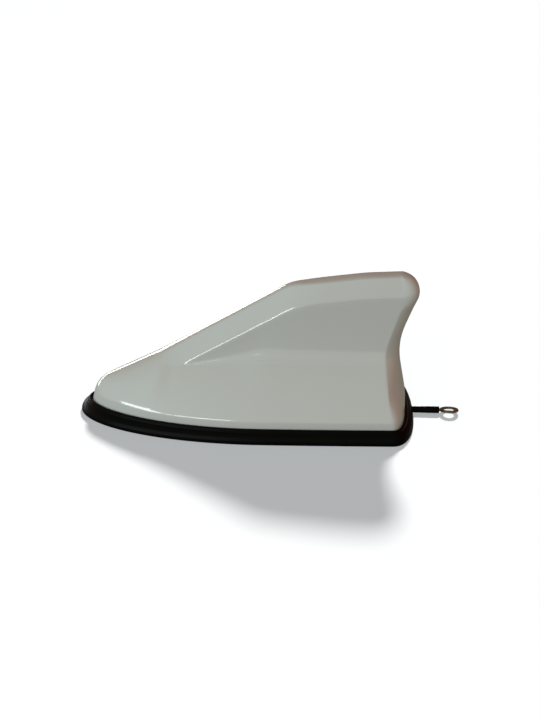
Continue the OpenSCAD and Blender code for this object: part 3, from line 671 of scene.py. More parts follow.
class Tree:
    """A Geometry Nodes tree with named inputs."""

    def __init__(self, name):
        self.tree = bpy.data.node_groups.new(name, "GeometryNodeTree")
        self.tree.interface.new_socket("Geometry", in_out="INPUT", socket_type="NodeSocketGeometry")
        self.tree.interface.new_socket("Geometry", in_out="OUTPUT", socket_type="NodeSocketGeometry")
        self.start = self.tree.nodes.new("NodeGroupInput")
        self.end = self.tree.nodes.new("NodeGroupOutput")

    def size(self, name, default, kind="NodeSocketFloat"):
        socket = self.tree.interface.new_socket(name, in_out="INPUT", socket_type=kind)
        if default is not None:
            socket.default_value = default
        return self.start.outputs[name]

    def add(self, kind, settings=None, **values):
        """Adds a node. Values are set or linked by input name, with _ for a space."""
        node = self.tree.nodes.new(kind)
        for key, value in (settings or {}).items():
            setattr(node, key, value)
        for key, value in values.items():
            label = key.replace("_", " ")
            socket = next(s for s in node.inputs if s.name == label and s.enabled)
            for v in value if isinstance(value, list) else [value]:
                if hasattr(v, "is_output"):
                    self.tree.links.new(v, socket)
                else:
                    socket.default_value = v
        return node.outputs[0]

    def maths(self, operation, *values):
        return maths(self.tree.nodes, self.tree.links, operation, *values)

    def scaled(self, value, share):
        return self.maths("MULTIPLY", value, share)

    def vector(self, x, y, z):
        return self.add("ShaderNodeCombineXYZ", X=x, Y=y, Z=z)

    def move(self, geometry, shift=(0, 0, 0), turn=(0, 0, 0)):
        return self.add("GeometryNodeTransform", Geometry=geometry, Translation=shift, Rotation=turn)

    def done(self, geometry, mat):
        """Ends the tree in Realize Instances and Set Material."""
        real = self.add("GeometryNodeRealizeInstances", Geometry=geometry)
        if mat is not None:
            real = self.add("GeometryNodeSetMaterial", Geometry=real, Material=mat)
        self.tree.links.new(real, self.end.inputs[0])
        return self.tree


def run_tree(name, tree, points, values):
    """Runs a tree on points in millimetres with its inputs set, and returns the plain mesh object."""
    mesh = bpy.data.meshes.new(name)
    mesh.from_pydata([tuple(c * MM for c in p) for p in points], [], [])
    obj = bpy.data.objects.new(name, mesh)
    bpy.context.scene.collection.objects.link(obj)
    modifier = obj.modifiers.new("Make", "NODES")
    modifier.node_group = tree
    for item in tree.interface.items_tree:
        if item.item_type == "SOCKET" and item.in_out == "INPUT" and item.name in values:
            modifier[item.identifier] = values[item.name]
    bpy.context.view_layer.update()
    applied(obj)
    obj.data.set_sharp_from_angle(angle=math.radians(32))
    return obj


def screw_tree():
    """Cross-recess screw: its head's outer face at z = 0, its shank downwards, on each point."""
    t = Tree("Screws")
    shank, length = t.size("Shank Diameter", 0.0024), t.size("Length", 0.01)
    head, crown = t.size("Head Diameter", 0.0052), t.size("Crown Diameter", 0.0052)
    under, head_h = t.size("Under Head Diameter", 0.0024), t.size("Head Height", 0.0014)
    width, depth = t.size("Recess Width", 0.0006), t.size("Recess Depth", 0.0009)
    turn = t.size("Turn", (0, 0, 0), "NodeSocketVector")
    mat = t.size("Material", None, "NodeSocketMaterial")
    rim_z = t.scaled(head_h, -0.16)
    low = t.scaled(head_h, -1)
    body = t.add("GeometryNodeMeshCone", Vertices=40, Radius_Top=t.scaled(head, 0.5),
                 Radius_Bottom=t.scaled(under, 0.5), Depth=t.scaled(head_h, 0.84))
    body = t.move(body, t.vector(0, 0, low))
    lid = t.add("GeometryNodeMeshCone", Vertices=40, Radius_Top=t.scaled(crown, 0.46),
                Radius_Bottom=t.scaled(head, 0.5), Depth=t.scaled(head_h, 0.16))
    lid = t.move(lid, t.vector(0, 0, rim_z))
    bars = []
    for angle in (0, math.pi / 2):
        span = t.scaled(head, 0.52)
        bar = t.add("GeometryNodeMeshCube", Size=t.vector(span, width, t.scaled(depth, 2)))
        bars.append(t.move(bar, turn=(0, 0, angle)))
    solid = t.add("GeometryNodeMeshBoolean", {"operation": "UNION"}, Mesh=[body, lid])
    cut = t.tree.nodes.new("GeometryNodeMeshBoolean")
    cut.operation = "DIFFERENCE"
    t.tree.links.new(solid, cut.inputs[0])
    for bar in bars:
        t.tree.links.new(bar, cut.inputs[1])
    shank_l = t.maths("SUBTRACT", t.maths("SUBTRACT", length, head_h), shank)
    pin = t.add("GeometryNodeMeshCylinder", Vertices=32, Radius=t.scaled(shank, 0.5), Depth=shank_l)
    pin_z = t.maths("SUBTRACT", low, t.scaled(shank_l, 0.5))
    pin = t.move(pin, t.vector(0, 0, pin_z))
    tip = t.add("GeometryNodeMeshCone", Vertices=32, Radius_Top=t.scaled(shank, 0.5),
                Radius_Bottom=t.scaled(shank, 0.17), Depth=shank)
    tip = t.move(tip, t.vector(0, 0, t.scaled(length, -1)))
    coil = t.add("GeometryNodeCurveSpiral", Resolution=24, Rotations=t.maths("DIVIDE", shank_l, 0.0008),
                 Start_Radius=t.scaled(shank, 0.5), End_Radius=t.scaled(shank, 0.5),
                 Height=shank_l)
    ridge = t.add("GeometryNodeCurvePrimitiveCircle", Resolution=3, Radius=t.scaled(shank, 0.07))
    thread = t.add("GeometryNodeCurveToMesh", Curve=coil, Profile_Curve=ridge, Fill_Caps=True)
    thread = t.move(thread, t.vector(0, 0, t.maths("SUBTRACT", low, shank_l)))
    whole = t.add("GeometryNodeJoinGeometry", Geometry=[cut.outputs[0], pin, tip, thread])
    spread = t.add("GeometryNodeInstanceOnPoints", Points=t.start.outputs["Geometry"], Instance=whole,
                   Rotation=turn)
    return t.done(spread, mat)


def coil_tree():
    """Coil of round wire that stands on each point."""
    t = Tree("Wire coil")
    radius, turns = t.size("Radius", 0.00375), t.size("Turns", 8.0)
    height, wire = t.size("Height", 0.0135), t.size("Wire Diameter", 0.0009)
    mat = t.size("Material", None, "NodeSocketMaterial")
    line = t.add("GeometryNodeCurveSpiral", Resolution=48, Rotations=turns, Start_Radius=radius,
                 End_Radius=radius, Height=height)
    ring = t.add("GeometryNodeCurvePrimitiveCircle", Resolution=14, Radius=t.scaled(wire, 0.5))
    tube = t.add("GeometryNodeCurveToMesh", Curve=line, Profile_Curve=ring, Fill_Caps=True)
    spread = t.add("GeometryNodeInstanceOnPoints", Points=t.start.outputs["Geometry"], Instance=tube)
    return t.done(spread, mat)


def chip_tree():
    """Small soldered part with a metal cap at each end, its low corner on each point."""
    t = Tree("Capped chips")
    size = t.size("Size", (0.002, 0.00125, 0.0011), "NodeSocketVector")
    cap = t.size("Cap Share", 0.2)
    body_mat = t.size("Body Material", None, "NodeSocketMaterial")
    cap_mat = t.size("Cap Material", None, "NodeSocketMaterial")
    split = t.tree.nodes.new("ShaderNodeSeparateXYZ")
    t.tree.links.new(size, split.inputs[0])
    l, w, h = split.outputs
    cap_l = t.scaled(l, cap)
    body_l = t.maths("SUBTRACT", l, t.scaled(cap_l, 2))
    thin = 0.96
    body = t.add("GeometryNodeMeshCube", Size=t.vector(body_l, t.scaled(w, thin),
                                                       t.scaled(h, thin)))
    body = t.add("GeometryNodeSetMaterial", Geometry=body, Material=body_mat)
    ends = []
    for side in (-0.5, 0.5):
        end = t.add("GeometryNodeMeshCube", Size=t.vector(cap_l, w, h))
        shift = t.scaled(t.maths("ADD", body_l, cap_l), side)
        ends.append(t.move(end, t.vector(shift, 0, 0)))
    ends = t.add("GeometryNodeJoinGeometry", Geometry=ends)
    ends = t.add("GeometryNodeSetMaterial", Geometry=ends, Material=cap_mat)
    whole = t.add("GeometryNodeJoinGeometry", Geometry=[body, ends])
    half = t.vector(*(t.scaled(s, 0.5) for s in (l, w, h)))
    whole = t.move(whole, half)
    spread = t.add("GeometryNodeInstanceOnPoints", Points=t.start.outputs["Geometry"], Instance=whole)
    return t.done(spread, None)


def even_line(points, spacing):
    """Smooth curve through the points, as points at an even spacing."""
    p = np.asarray(points, float)
    p = np.concatenate([[2 * p[0] - p[1]], p, [2 * p[-1] - p[-2]]])
    dense = []
    for i in range(1, len(p) - 2):
        a, b, c, d = p[i - 1:i + 3]
        for t in np.arange(0, 1, 0.05):
            dense.append(0.5 * (2 * b + (c - a) * t + (2 * a - 5 * b + 4 * c - d) * t * t
                                + (3 * b - a - 3 * c + d) * t ** 3))
    dense = np.array(dense + [p[-2]])
    s = np.concatenate([[0], np.cumsum(np.linalg.norm(np.diff(dense, axis=0), axis=1))])
    at = np.linspace(0, s[-1], max(2, round(s[-1] / spacing)) + 1)
    return np.stack([np.interp(at, s, dense[:, k]) for k in range(3)], axis=1), s[-1]


def swept(line, radius, sides):
    """Vertices and faces of a closed round tube along a line in a plane of constant y."""
    n = len(line)
    side = np.array([0.0, 1.0, 0.0])
    verts = []
    for i in range(n):
        t = unit(line[min(i + 1, n - 1)] - line[max(i - 1, 0)])
        up = np.cross(t, side)
        for k in range(sides):
            a = 2 * math.pi * k / sides
            verts.append(line[i] + radius * (math.cos(a) * side + math.sin(a) * up))
    ends = [tuple(range(sides)), tuple((n - 1) * sides + k for k in range(sides))]
    return np.array(verts), ring_faces(n, sides, closed=False) + ends


class AERIAL_OT_finishes(bpy.types.Operator):
    """Makes the materials of the plastic, rubber, foam and metal parts"""

    bl_idname = "aerial.finishes"
    bl_label = "Finishes"

    def execute(self, context):
        scene = context.scene
        GROUPS.update(grain=moulded_grain(), lines=brushed_lines(), cells=foam_cells())
        plastic = dict(group="grain", mask="Mottle", height="Height")
        metal = dict(group="lines", mask="Lines", height="Height")
        foam = dict(group="cells", mask="Cells", height="Height")
        finish_material("cover_plastic", tuple(scene.aerial_cover.colour), 0.1, **plastic,
                        values={"Mottle Scale": 14, "Grain Scale": 500}, tint=0.012, rough_span=0.02,
                        bump=0.03, distance=0.00005, ior=1.55, level=0.8)
        finish_material("gasket_rubber", tuple(scene.aerial_gasket.colour), 0.34, **plastic,
                        values={"Mottle Scale": 90, "Grain Scale": 2600}, tint=0.3, rough_span=0.08,
                        bump=0.12, distance=0.00005, level=0.04)
        finish_material("base_plastic", (0.018, 0.018, 0.018), 0.5, **plastic,
                        values={"Mottle Scale": 60, "Grain Scale": 3200}, tint=0.2, bump=0.5)
        finish_material("former_plastic", (0.025, 0.025, 0.028), 0.45, **plastic, tint=0.2, bump=0.2)
        finish_material("carrier_plastic", (0.62, 0.6, 0.52), 0.4, **plastic, tint=0.04, bump=0.15)
        finish_material("chip_body", (0.015, 0.015, 0.015), 0.45, **plastic, tint=0.2, bump=0.3)
        finish_material("resistor_body", (0.012, 0.012, 0.012), 0.35, **plastic, tint=0.2, bump=0.2)
        finish_material("capacitor_ceramic", (0.42, 0.29, 0.16), 0.5, **plastic, tint=0.08, bump=0.2)
        finish_material("choke_ferrite", (0.03, 0.03, 0.033), 0.55, **plastic, tint=0.3, bump=0.6,
                        values={"Grain Scale": 2200})
        finish_material("lead_jacket", (0.002, 0.002, 0.002), 0.42, **plastic, tint=0.2, bump=0.1,
                        values={"Grain Scale": 1800}, level=0.04)
        finish_material("sleeve_film", (0.0025, 0.002, 0.002), 0.38, **plastic, tint=0.25, bump=0.25,
                        values={"Mottle Scale": 400, "Grain Scale": 1500}, level=0.04)
        finish_material("liner_film", (0.5, 0.04, 0.03), 0.25, **plastic, tint=0.05, bump=0.1)
        finish_material("board_laminate", (0.02, 0.15, 0.06), 0.3, **metal, tint=0.25, bump=0.2,
                        values={"Scale": 900, "Stretch": 1})
        finish_material("screw_steel", (0.62, 0.62, 0.63), 0.3, **metal, metallic=1, tint=0.05, bump=0.06)
        finish_material("radiator_tinplate", (0.66, 0.65, 0.6), 0.28, **metal, metallic=1, bump=0.05)
        finish_material("can_tinplate", (0.68, 0.68, 0.67), 0.3, **metal, metallic=1, bump=0.05)
        finish_material("clip_metal", (0.66, 0.65, 0.6), 0.3, **metal, metallic=1, bump=0.05)
        finish_material("coil_copper", (0.68, 0.27, 0.1), 0.25, **metal, metallic=1, bump=0.03, coat=0.6)
        finish_material("terminal_tin", (0.2, 0.19, 0.12), 0.5, **metal, metallic=1, tint=0.16,
                        rough_span=0.1, bump=0.12, values={"Scale": 700, "Stretch": 4})
        finish_material("pad_foam", (0.07, 0.07, 0.075), 0.8, **foam, tint=0.4, bump=0.8, level=0.2)
        finish_material("block_foam", (0.09, 0.09, 0.1), 0.85, **foam, tint=0.5, bump=1.0, level=0.2,
                        values={"Scale": 900})
        return {"FINISHED"}


class AERIAL_OT_lead(bpy.types.Operator):
    """Makes the lead, its shrink sleeve and the ring terminal"""

    bl_idname = "aerial.lead"
    bl_label = "Lead and terminal"

    def execute(self, context):
        s = context.scene.aerial_lead
        route, length = even_line(LEAD_ROUTE, 0.0008)
        verts, faces = swept(route / MM, s.diameter / 2 / MM, 28)
        lead = new_object("lead_cable", verts, faces, material("lead_jacket"), 50)
        finish_piece(lead, "lead_jacket", "lead")
        sleeve = self.sleeve(s)
        ring = self.terminal(s)
        return {"FINISHED"}

    def sleeve(self, s):
        """Shrink sleeve: it hugs the lead, swells over the crimp, and its cut ends are slightly rolled."""
        x0, x1 = SLEEVE_LOW.x, SLEEVE_HIGH.x
        z = (SLEEVE_LOW.z + SLEEVE_HIGH.z) / 2
        inner, outer = s.diameter / 2 / MM, s.sleeve_diameter / 2 / MM
        length = x1 - x0
        wall = []
        for t in np.linspace(0, 1, 60):
            swell = mix(outer - 0.13, outer - 0.02, smooth(0.3, 0.75, t))
            wall.append((swell - 0.1 * math.sin(11 * math.pi * t) * t * (1 - t), t))
        profile = [(inner, x1), (inner, x0), (inner + 0.12, x0), (wall[0][0] - 0.08, x0 + 0.03)]
        profile += [(r, x0 + 0.1 + (length - 0.2) * t) for r, t in wall]
        profile += [(outer - 0.07, x1 - 0.02), (outer - 0.2, x1)]
        verts, faces = lathe(profile, z, 40)
        obj = new_object("shrink_sleeve", verts, faces, material("sleeve_film"), 40)
        return finish_piece(obj, "sleeve_film", "lead_sleeve")

    def terminal(self, s):
        """Stamped ring with a hole, a flared neck and the crimped barrel inside the sleeve."""
        r, hole, t = (v / 2 / MM for v in (s.ring_diameter, s.ring_hole, s.ring_thickness))
        x = RING_HIGH.x - r
        z = (SLEEVE_LOW.z + SLEEVE_HIGH.z) / 2
        neck_w, neck_l = 1.2, x - (SLEEVE_HIGH.x - 1.5)
        neck_a = 0.5
        angles = np.concatenate([np.linspace(-neck_a, neck_a, 61)[:-1],
                                 np.linspace(neck_a, 2 * math.pi - neck_a, 96)[:-1]])
        # The neck is a strip that joins the ring with a soft corner
        outline = []
        for a in angles:
            c, d = math.cos(a), abs(math.sin(a))
            strip = min(neck_l / c, neck_w / max(d, 1e-6)) if c > 0.05 else 0
            outline.append(-float(soft_min(-r, -strip, 0.5)))
        # Rows of the section: way outwards, height, and 1 at the outline or 0 at the hole
        edge = 0.14
        near, drop = 0.35 * edge, t - 0.3 * edge
        profile = [(0, edge - t, 0), (0, t - edge, 0), (near, drop, 0), (edge, t, 0), (-edge, t, 1),
                   (-near, drop, 1), (0, t - edge, 1), (0, edge - t, 1), (-near, -drop, 1), (-edge, -t, 1),
                   (edge, -t, 0), (near, -drop, 0)]
        verts = []
        for shift, height, outside in profile:
            for a, o in zip(angles, outline):
                radius = (o if outside else hole) + shift
                verts.append((x - radius * math.cos(a), radius * math.sin(a), z + height))
        faces = ring_faces(len(profile), len(angles))
        barrel_r = s.diameter / 2 / MM - 0.2
        x0, x1 = LEAD_ROUTE[-1][0] / MM, SLEEVE_HIGH.x - 1
        profile = [(0.0001, x0), (barrel_r - 0.1, x0), (barrel_r, x0 + 0.1)]
        profile += [(barrel_r - 0.12 * math.sin(math.pi * k / 8) ** 2, mix(x0 + 0.2, x1 - 0.3, k / 8))
                    for k in range(9)]
        profile += [(barrel_r, x1 - 0.1), (barrel_r - 0.1, x1), (0.0001, x1)]
        more, more_faces = lathe(profile, z, 24)
        offset = len(verts)
        verts = np.concatenate([np.array(verts), more])
        faces += [tuple(i + offset for i in f) for f in more_faces]
        c, d = math.cos(s.ring_turn), math.sin(s.ring_turn)
        y, up = verts[:, 1].copy(), verts[:, 2] - z
        verts[:, 1], verts[:, 2] = y * c - up * d, z + y * d + up * c
        obj = new_object("ring_lug", verts, faces, material("terminal_tin"), 35)
        return finish_piece(obj, "terminal_tin", "ring_terminal")


class AERIAL_OT_cover(bpy.types.Operator):
    """Makes the moulded cover with its wall and screw posts"""

    bl_idname = "aerial.cover"
    bl_label = "Cover"

    def execute(self, context):
        scene = context.scene
        form = CoverForm(scene.aerial_cover, scene.aerial_gasket)
        wall = scene.aerial_cover.wall / MM
        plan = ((110, 74, 30))
        corner_n = plan[2]
        edge_t = [0.1, 0.2, 0.3, 0.4, 0.5]
        crown_t = mix(0.5, 1, np.arange(1, corner_n + 1) / corner_n)
        fine = (np.linspace(0, 1, 8)[1:-1], crowded(26), crowded(20), crowded(14), edge_t, crown_t)
        plain = ([0.5], [0.2, 0.4, 0.6, 0.8], [0.2, 0.6], [0.5], [0.5], crown_t)
        outer, outer_faces, loop_n = form.skin(0, plan, fine)
        inner, inner_faces, inner_n = form.skin(wall, plan, plain)
        if loop_n != inner_n:
            raise RuntimeError("the two skins of the cover don't match round the foot")
        tree = BVHTree.FromPolygons(inner.tolist(), inner_faces)
        shift = len(outer)
        faces = outer_faces + [tuple(i + shift for i in reversed(f)) for f in inner_faces]
        faces += [(i, (i + 1) % loop_n, shift + (i + 1) % loop_n, shift + i) for i in range(loop_n)]
        obj = new_object("fin_cover", np.concatenate([outer, inner]), faces, material("cover_plastic"), 60)
        posts = self.posts(context, tree)
        with_posts = bmesh.new()
        with_posts.from_mesh(obj.data)
        with_posts.from_mesh(posts.data)
        with_posts.to_mesh(obj.data)
        with_posts.free()
        bpy.data.objects.remove(posts)
        finish_piece(obj, "cover_plastic", "cover")
        return {"FINISHED"}

    def posts(self, context, skin):
        """Screw posts that grow from the inside of the skin down to the base plate."""
        s = context.scene.aerial_fixings
        # The posts stand on the base plate, and their pilot holes are a little deeper than the screws
        sides, r, plate_t, spare = 40, 3.2, 2.4, 0.6
        pilot = s.screw_diameter / 2 / MM + 0.1
        z0 = BOARD_LOW.z - 5.4
        depth = s.screw_length / MM - plate_t + spare
        verts, faces = [], []
        for px, py in screw_places():
            rings = [(pilot, z0 + depth), (pilot, z0 + 0.3), (pilot + 0.25, z0), (r - 0.3, z0), (r, z0 + 0.3)]
            first = len(verts)
            for radius, z in rings + [(r, None)]:
                for k in range(sides):
                    a = 2 * math.pi * k / sides
                    x, y = px + radius * math.cos(a), py + radius * math.sin(a)
                    if z is None:
                        hit = skin.ray_cast(Vector((x, y, z0)), Vector((0, 0, 1)))[0]
                        top = (hit.z if hit else z0 + 8) + 0.6
                        verts.append((x, y, top))
                    else:
                        verts.append((x, y, z))
            n = len(rings) + 1
            faces += [tuple(first + i for i in f) for f in ring_faces(n, sides, closed=False)]
            faces.append(tuple(first + k for k in range(sides)))
            faces.append(tuple(first + (n - 1) * sides + k for k in range(sides)))
        return new_object("posts", verts, faces, material("cover_plastic"), 40)


def screw_places():
    """Places of the base screws in plan: one behind the nose, then two pairs."""
    middle, rear = (X_NOSE + 46, 13), (X_REAR - 19.1, 21)
    return [(X_NOSE + 24, 0)] + [(x, side * y) for x, y in (middle, rear) for side in (1, -1)]


class AERIAL_OT_gasket(bpy.types.Operator):
    """Makes the rubber gasket, with its lip, ledge, flange and the notch for the lead"""

    bl_idname = "aerial.gasket"
    bl_label = "Gasket"

    def execute(self, context):
        scene = context.scene
        s, c = scene.aerial_gasket, scene.aerial_cover
        form = CoverForm(c, s)
        out, ledge = c.rim / MM, s.ledge / MM
        top = ledge + s.lip / MM
        inner = -(c.wall / MM + 0.2)
        flange = -(c.wall / MM + 0.6 + s.flange / MM)
        plate = PLATE_LOW.z
        corners = np.array([
            (out - 0.5, 0), (out, 0.6), (out - 0.15, 2), (out - 0.9, 3.7), (out - 1.9, ledge - 0.2),
            (out - 2.8, ledge + 0.3), (out - 3, top - 0.5), (out - 3.5, top), (0.5, top), (0.2, top - 0.4),
            (0.3, ledge), (inner, ledge), (inner, plate), (flange, plate), (flange, 0.8), (flange + 1, 0),
            (flange + 2, 0), (flange + 2.6, 1), (0.6, 1), (1.4, 0), (out - 0.5, 0)])
        steps = np.linalg.norm(np.diff(corners, axis=0), axis=1)
        line = np.concatenate([np.linspace(a, b, max(2, round(l / 0.16)), endpoint=False)
                               for a, b, l in zip(corners[:-1], corners[1:], steps)])
        n = len(line)
        wide = soften(np.concatenate([line, line, line]), s.edge_radius / MM)
        profile = wide[n:2 * n]
        profile[:, 1] = np.clip(profile[:, 1], 0, None)
        # The seats of the cover and the plate stay sharp and true
        seat = (line[:, 0] < 0.31) & (line[:, 1] > plate - 0.01)
        profile[seat] = line[seat]
        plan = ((90, 56, 20))
        rings = []
        for off, z in profile:
            h = form.half_ring(off, plan)
            loop = np.concatenate([h, h[-2:0:-1] * [1, -1]])
            rings.append(np.column_stack([loop, np.full(len(loop), z)]))
        faces = ring_faces(n, len(rings[0]))
        obj = new_object("rubber_gasket", np.concatenate(rings), faces, material("gasket_rubber"), 45)
        half = scene.aerial_lead.diameter / 2 / MM + 0.6
        self.notch(obj, (X_REAR - 16, -half, -1), (X_REAR + 4, half, plate + 0.5))
        obj.data.set_sharp_from_angle(angle=math.radians(45))
        finish_piece(obj, "gasket_rubber", "gasket")
        return {"FINISHED"}

    def notch(self, obj, low, high):
        """Cuts the slot that the lead leaves through."""
        bm = bmesh.new()
        bmesh.ops.create_cube(bm, size=1)
        for v in bm.verts:
            v.co = Vector([(l + h) / 2 * MM + c * (h - l) * MM for l, h, c in zip(low, high, v.co)])
        mesh = bpy.data.meshes.new("slot")
        bm.to_mesh(mesh)
        bm.free()
        tool = bpy.data.objects.new("slot", mesh)
        bpy.context.scene.collection.objects.link(tool)
        cut = obj.modifiers.new("Slot", "BOOLEAN")
        cut.object = tool
        cut.operation = "DIFFERENCE"
        cut.solver = "EXACT"
        applied(obj)
        bpy.data.objects.remove(tool)


class AERIAL_OT_base(bpy.types.Operator):
    """Finishes the base plate, the foam pad and its liner, and makes the base screws"""

    bl_idname = "aerial.base"
    bl_label = "Base and screws"

    def execute(self, context):
        s = context.scene.aerial_fixings
        dress_node("base_plate", "base_plastic")
        dress_node("release_liner", "liner_film")
        pad = soft_copy("foam_pad", "adhesive_pad", "pad_foam", 0.00012)
        rise = (s.head_diameter - s.screw_diameter) / 2
        places = [(x, y, PLATE_LOW.z + 0.05) for x, y in screw_places()]
        screws = run_tree("base_screw_set", screw_tree(), places, {
            "Shank Diameter": s.screw_diameter, "Length": s.screw_length, "Head Diameter": s.head_diameter,
            "Crown Diameter": s.head_diameter, "Under Head Diameter": s.screw_diameter, "Head Height": rise,
            "Recess Width": 0.0006, "Recess Depth": 0.0009, "Turn": (math.pi, 0, 0),
            "Material": material("screw_steel")})
        finish_piece(screws, "screw_steel", "base_screws")
        return {"FINISHED"}


def soft_copy(name, node, slot, edge):
    """Copy of a soft CAD solid with rounded edges, which stands for it."""
    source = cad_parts[node]
    obj = bpy.data.objects.new(name, source.data.copy())
    bpy.context.scene.collection.objects.link(obj)
    bm = bmesh.new()
    bm.from_mesh(obj.data)
    bmesh.ops.remove_doubles(bm, verts=bm.verts, dist=1e-6)
    bmesh.ops.dissolve_limit(bm, angle_limit=math.radians(1), verts=bm.verts, edges=bm.edges)
    bm.to_mesh(obj.data)
    bm.free()
    bevel = obj.modifiers.new("Edges", "BEVEL")
    bevel.width = edge
    bevel.segments = 3
    bevel.limit_method = "ANGLE"
    bevel.angle_limit = math.radians(50)
    applied(obj)
    obj.data.materials.clear()
    obj.data.materials.append(material(slot))
    return finish_piece(obj, slot, node)


class AERIAL_OT_board(bpy.types.Operator):
    """Finishes the circuit board and makes its screws and capped chips"""

    bl_idname = "aerial.board"
    bl_label = "Circuit board"

    def execute(self, context):
        s = context.scene.aerial_fixings
        dress_node("circuit_board", "board_laminate")
        dress_node("shield_can", "can_tinplate")
        dress_node("amplifier_transistor", "chip_body")
        dress_node("ferrite_choke", "choke_ferrite")
        dress_node("lead_clip", "clip_metal")
        d = s.small_diameter
        x0, x1, y1, top, low = BOARD_LOW.x, BOARD_HIGH.x, BOARD_HIGH.y, BOARD_HIGH.z, BOARD_LOW.z
        common = {"Shank Diameter": d, "Head Diameter": 2 * d, "Crown Diameter": 1.7 * d,
                  "Under Head Diameter": 2 * d, "Head Height": 0.7 * d, "Recess Width": 0.0004,
                  "Recess Depth": 0.4 * d, "Material": material("screw_steel")}
        tree = screw_tree()
        places = [(x, y, top + 0.7 * d / MM) for x in (x0 + 3.5, x1 - 3.5) for y in (y1 - 3.5, 3.5 - y1)]
        screws = run_tree("board_screw_set", tree, places, {**common, "Length": 0.0055 + 0.7 * d})
        finish_piece(screws, "screw_steel", "board_screws")
        places = [(x0 + 23.5, 3.2, low - 0.7 * d / MM), (x0 + 35.5, -3.2, low - 0.7 * d / MM)]
        screws = run_tree("carrier_screw_set", tree, places,
                          {**common, "Length": 0.0038 + 0.7 * d, "Turn": (math.pi, 0, 0)})
        finish_piece(screws, "screw_steel", "carrier_screws")
        chips = chip_tree()
        for name, node, slot, y, height in (("capacitor_row", "capacitors", "capacitor_ceramic", -10, 0.0011),
                                            ("resistor_row", "resistors", "resistor_body", -14, 0.0006)):
            row = run_tree(name, chips, [(x0 + x, y, top) for x in (18, 22, 26, 30)], {
                "Size": (0.002, 0.00125, height), "Body Material": material(slot),
                "Cap Material": material("can_tinplate")})
            finish_piece(row, slot, node)
        return {"FINISHED"}


class AERIAL_OT_radiator(bpy.types.Operator):
    """Finishes the radiator, its carrier and the foam block, and makes the loading coil"""

    bl_idname = "aerial.radiator"
    bl_label = "Radiator and coil"

    def execute(self, context):
        s = context.scene.aerial_fixings
        dress_node("radiator_carrier", "carrier_plastic")
        dress_node("radiator_plate", "radiator_tinplate")
        dress_node("coil_former", "former_plastic")
        foam = soft_copy("foam_block", "anti_rattle_foam", "block_foam", 0.00025)
        x = (COIL_LOW.x + COIL_HIGH.x) / 2
        rise = COIL_HIGH.z - COIL_LOW.z - s.wire_diameter / MM
        coil = run_tree("wire_coil", coil_tree(), [(x, 0, COIL_LOW.z + s.wire_diameter / 2 / MM)], {
            "Radius": s.coil_diameter / 2, "Turns": float(s.coil_turns), "Height": rise * MM,
            "Wire Diameter": s.wire_diameter, "Material": material("coil_copper")})
        finish_piece(coil, "coil_copper", "loading_coil")
        return {"FINISHED"}


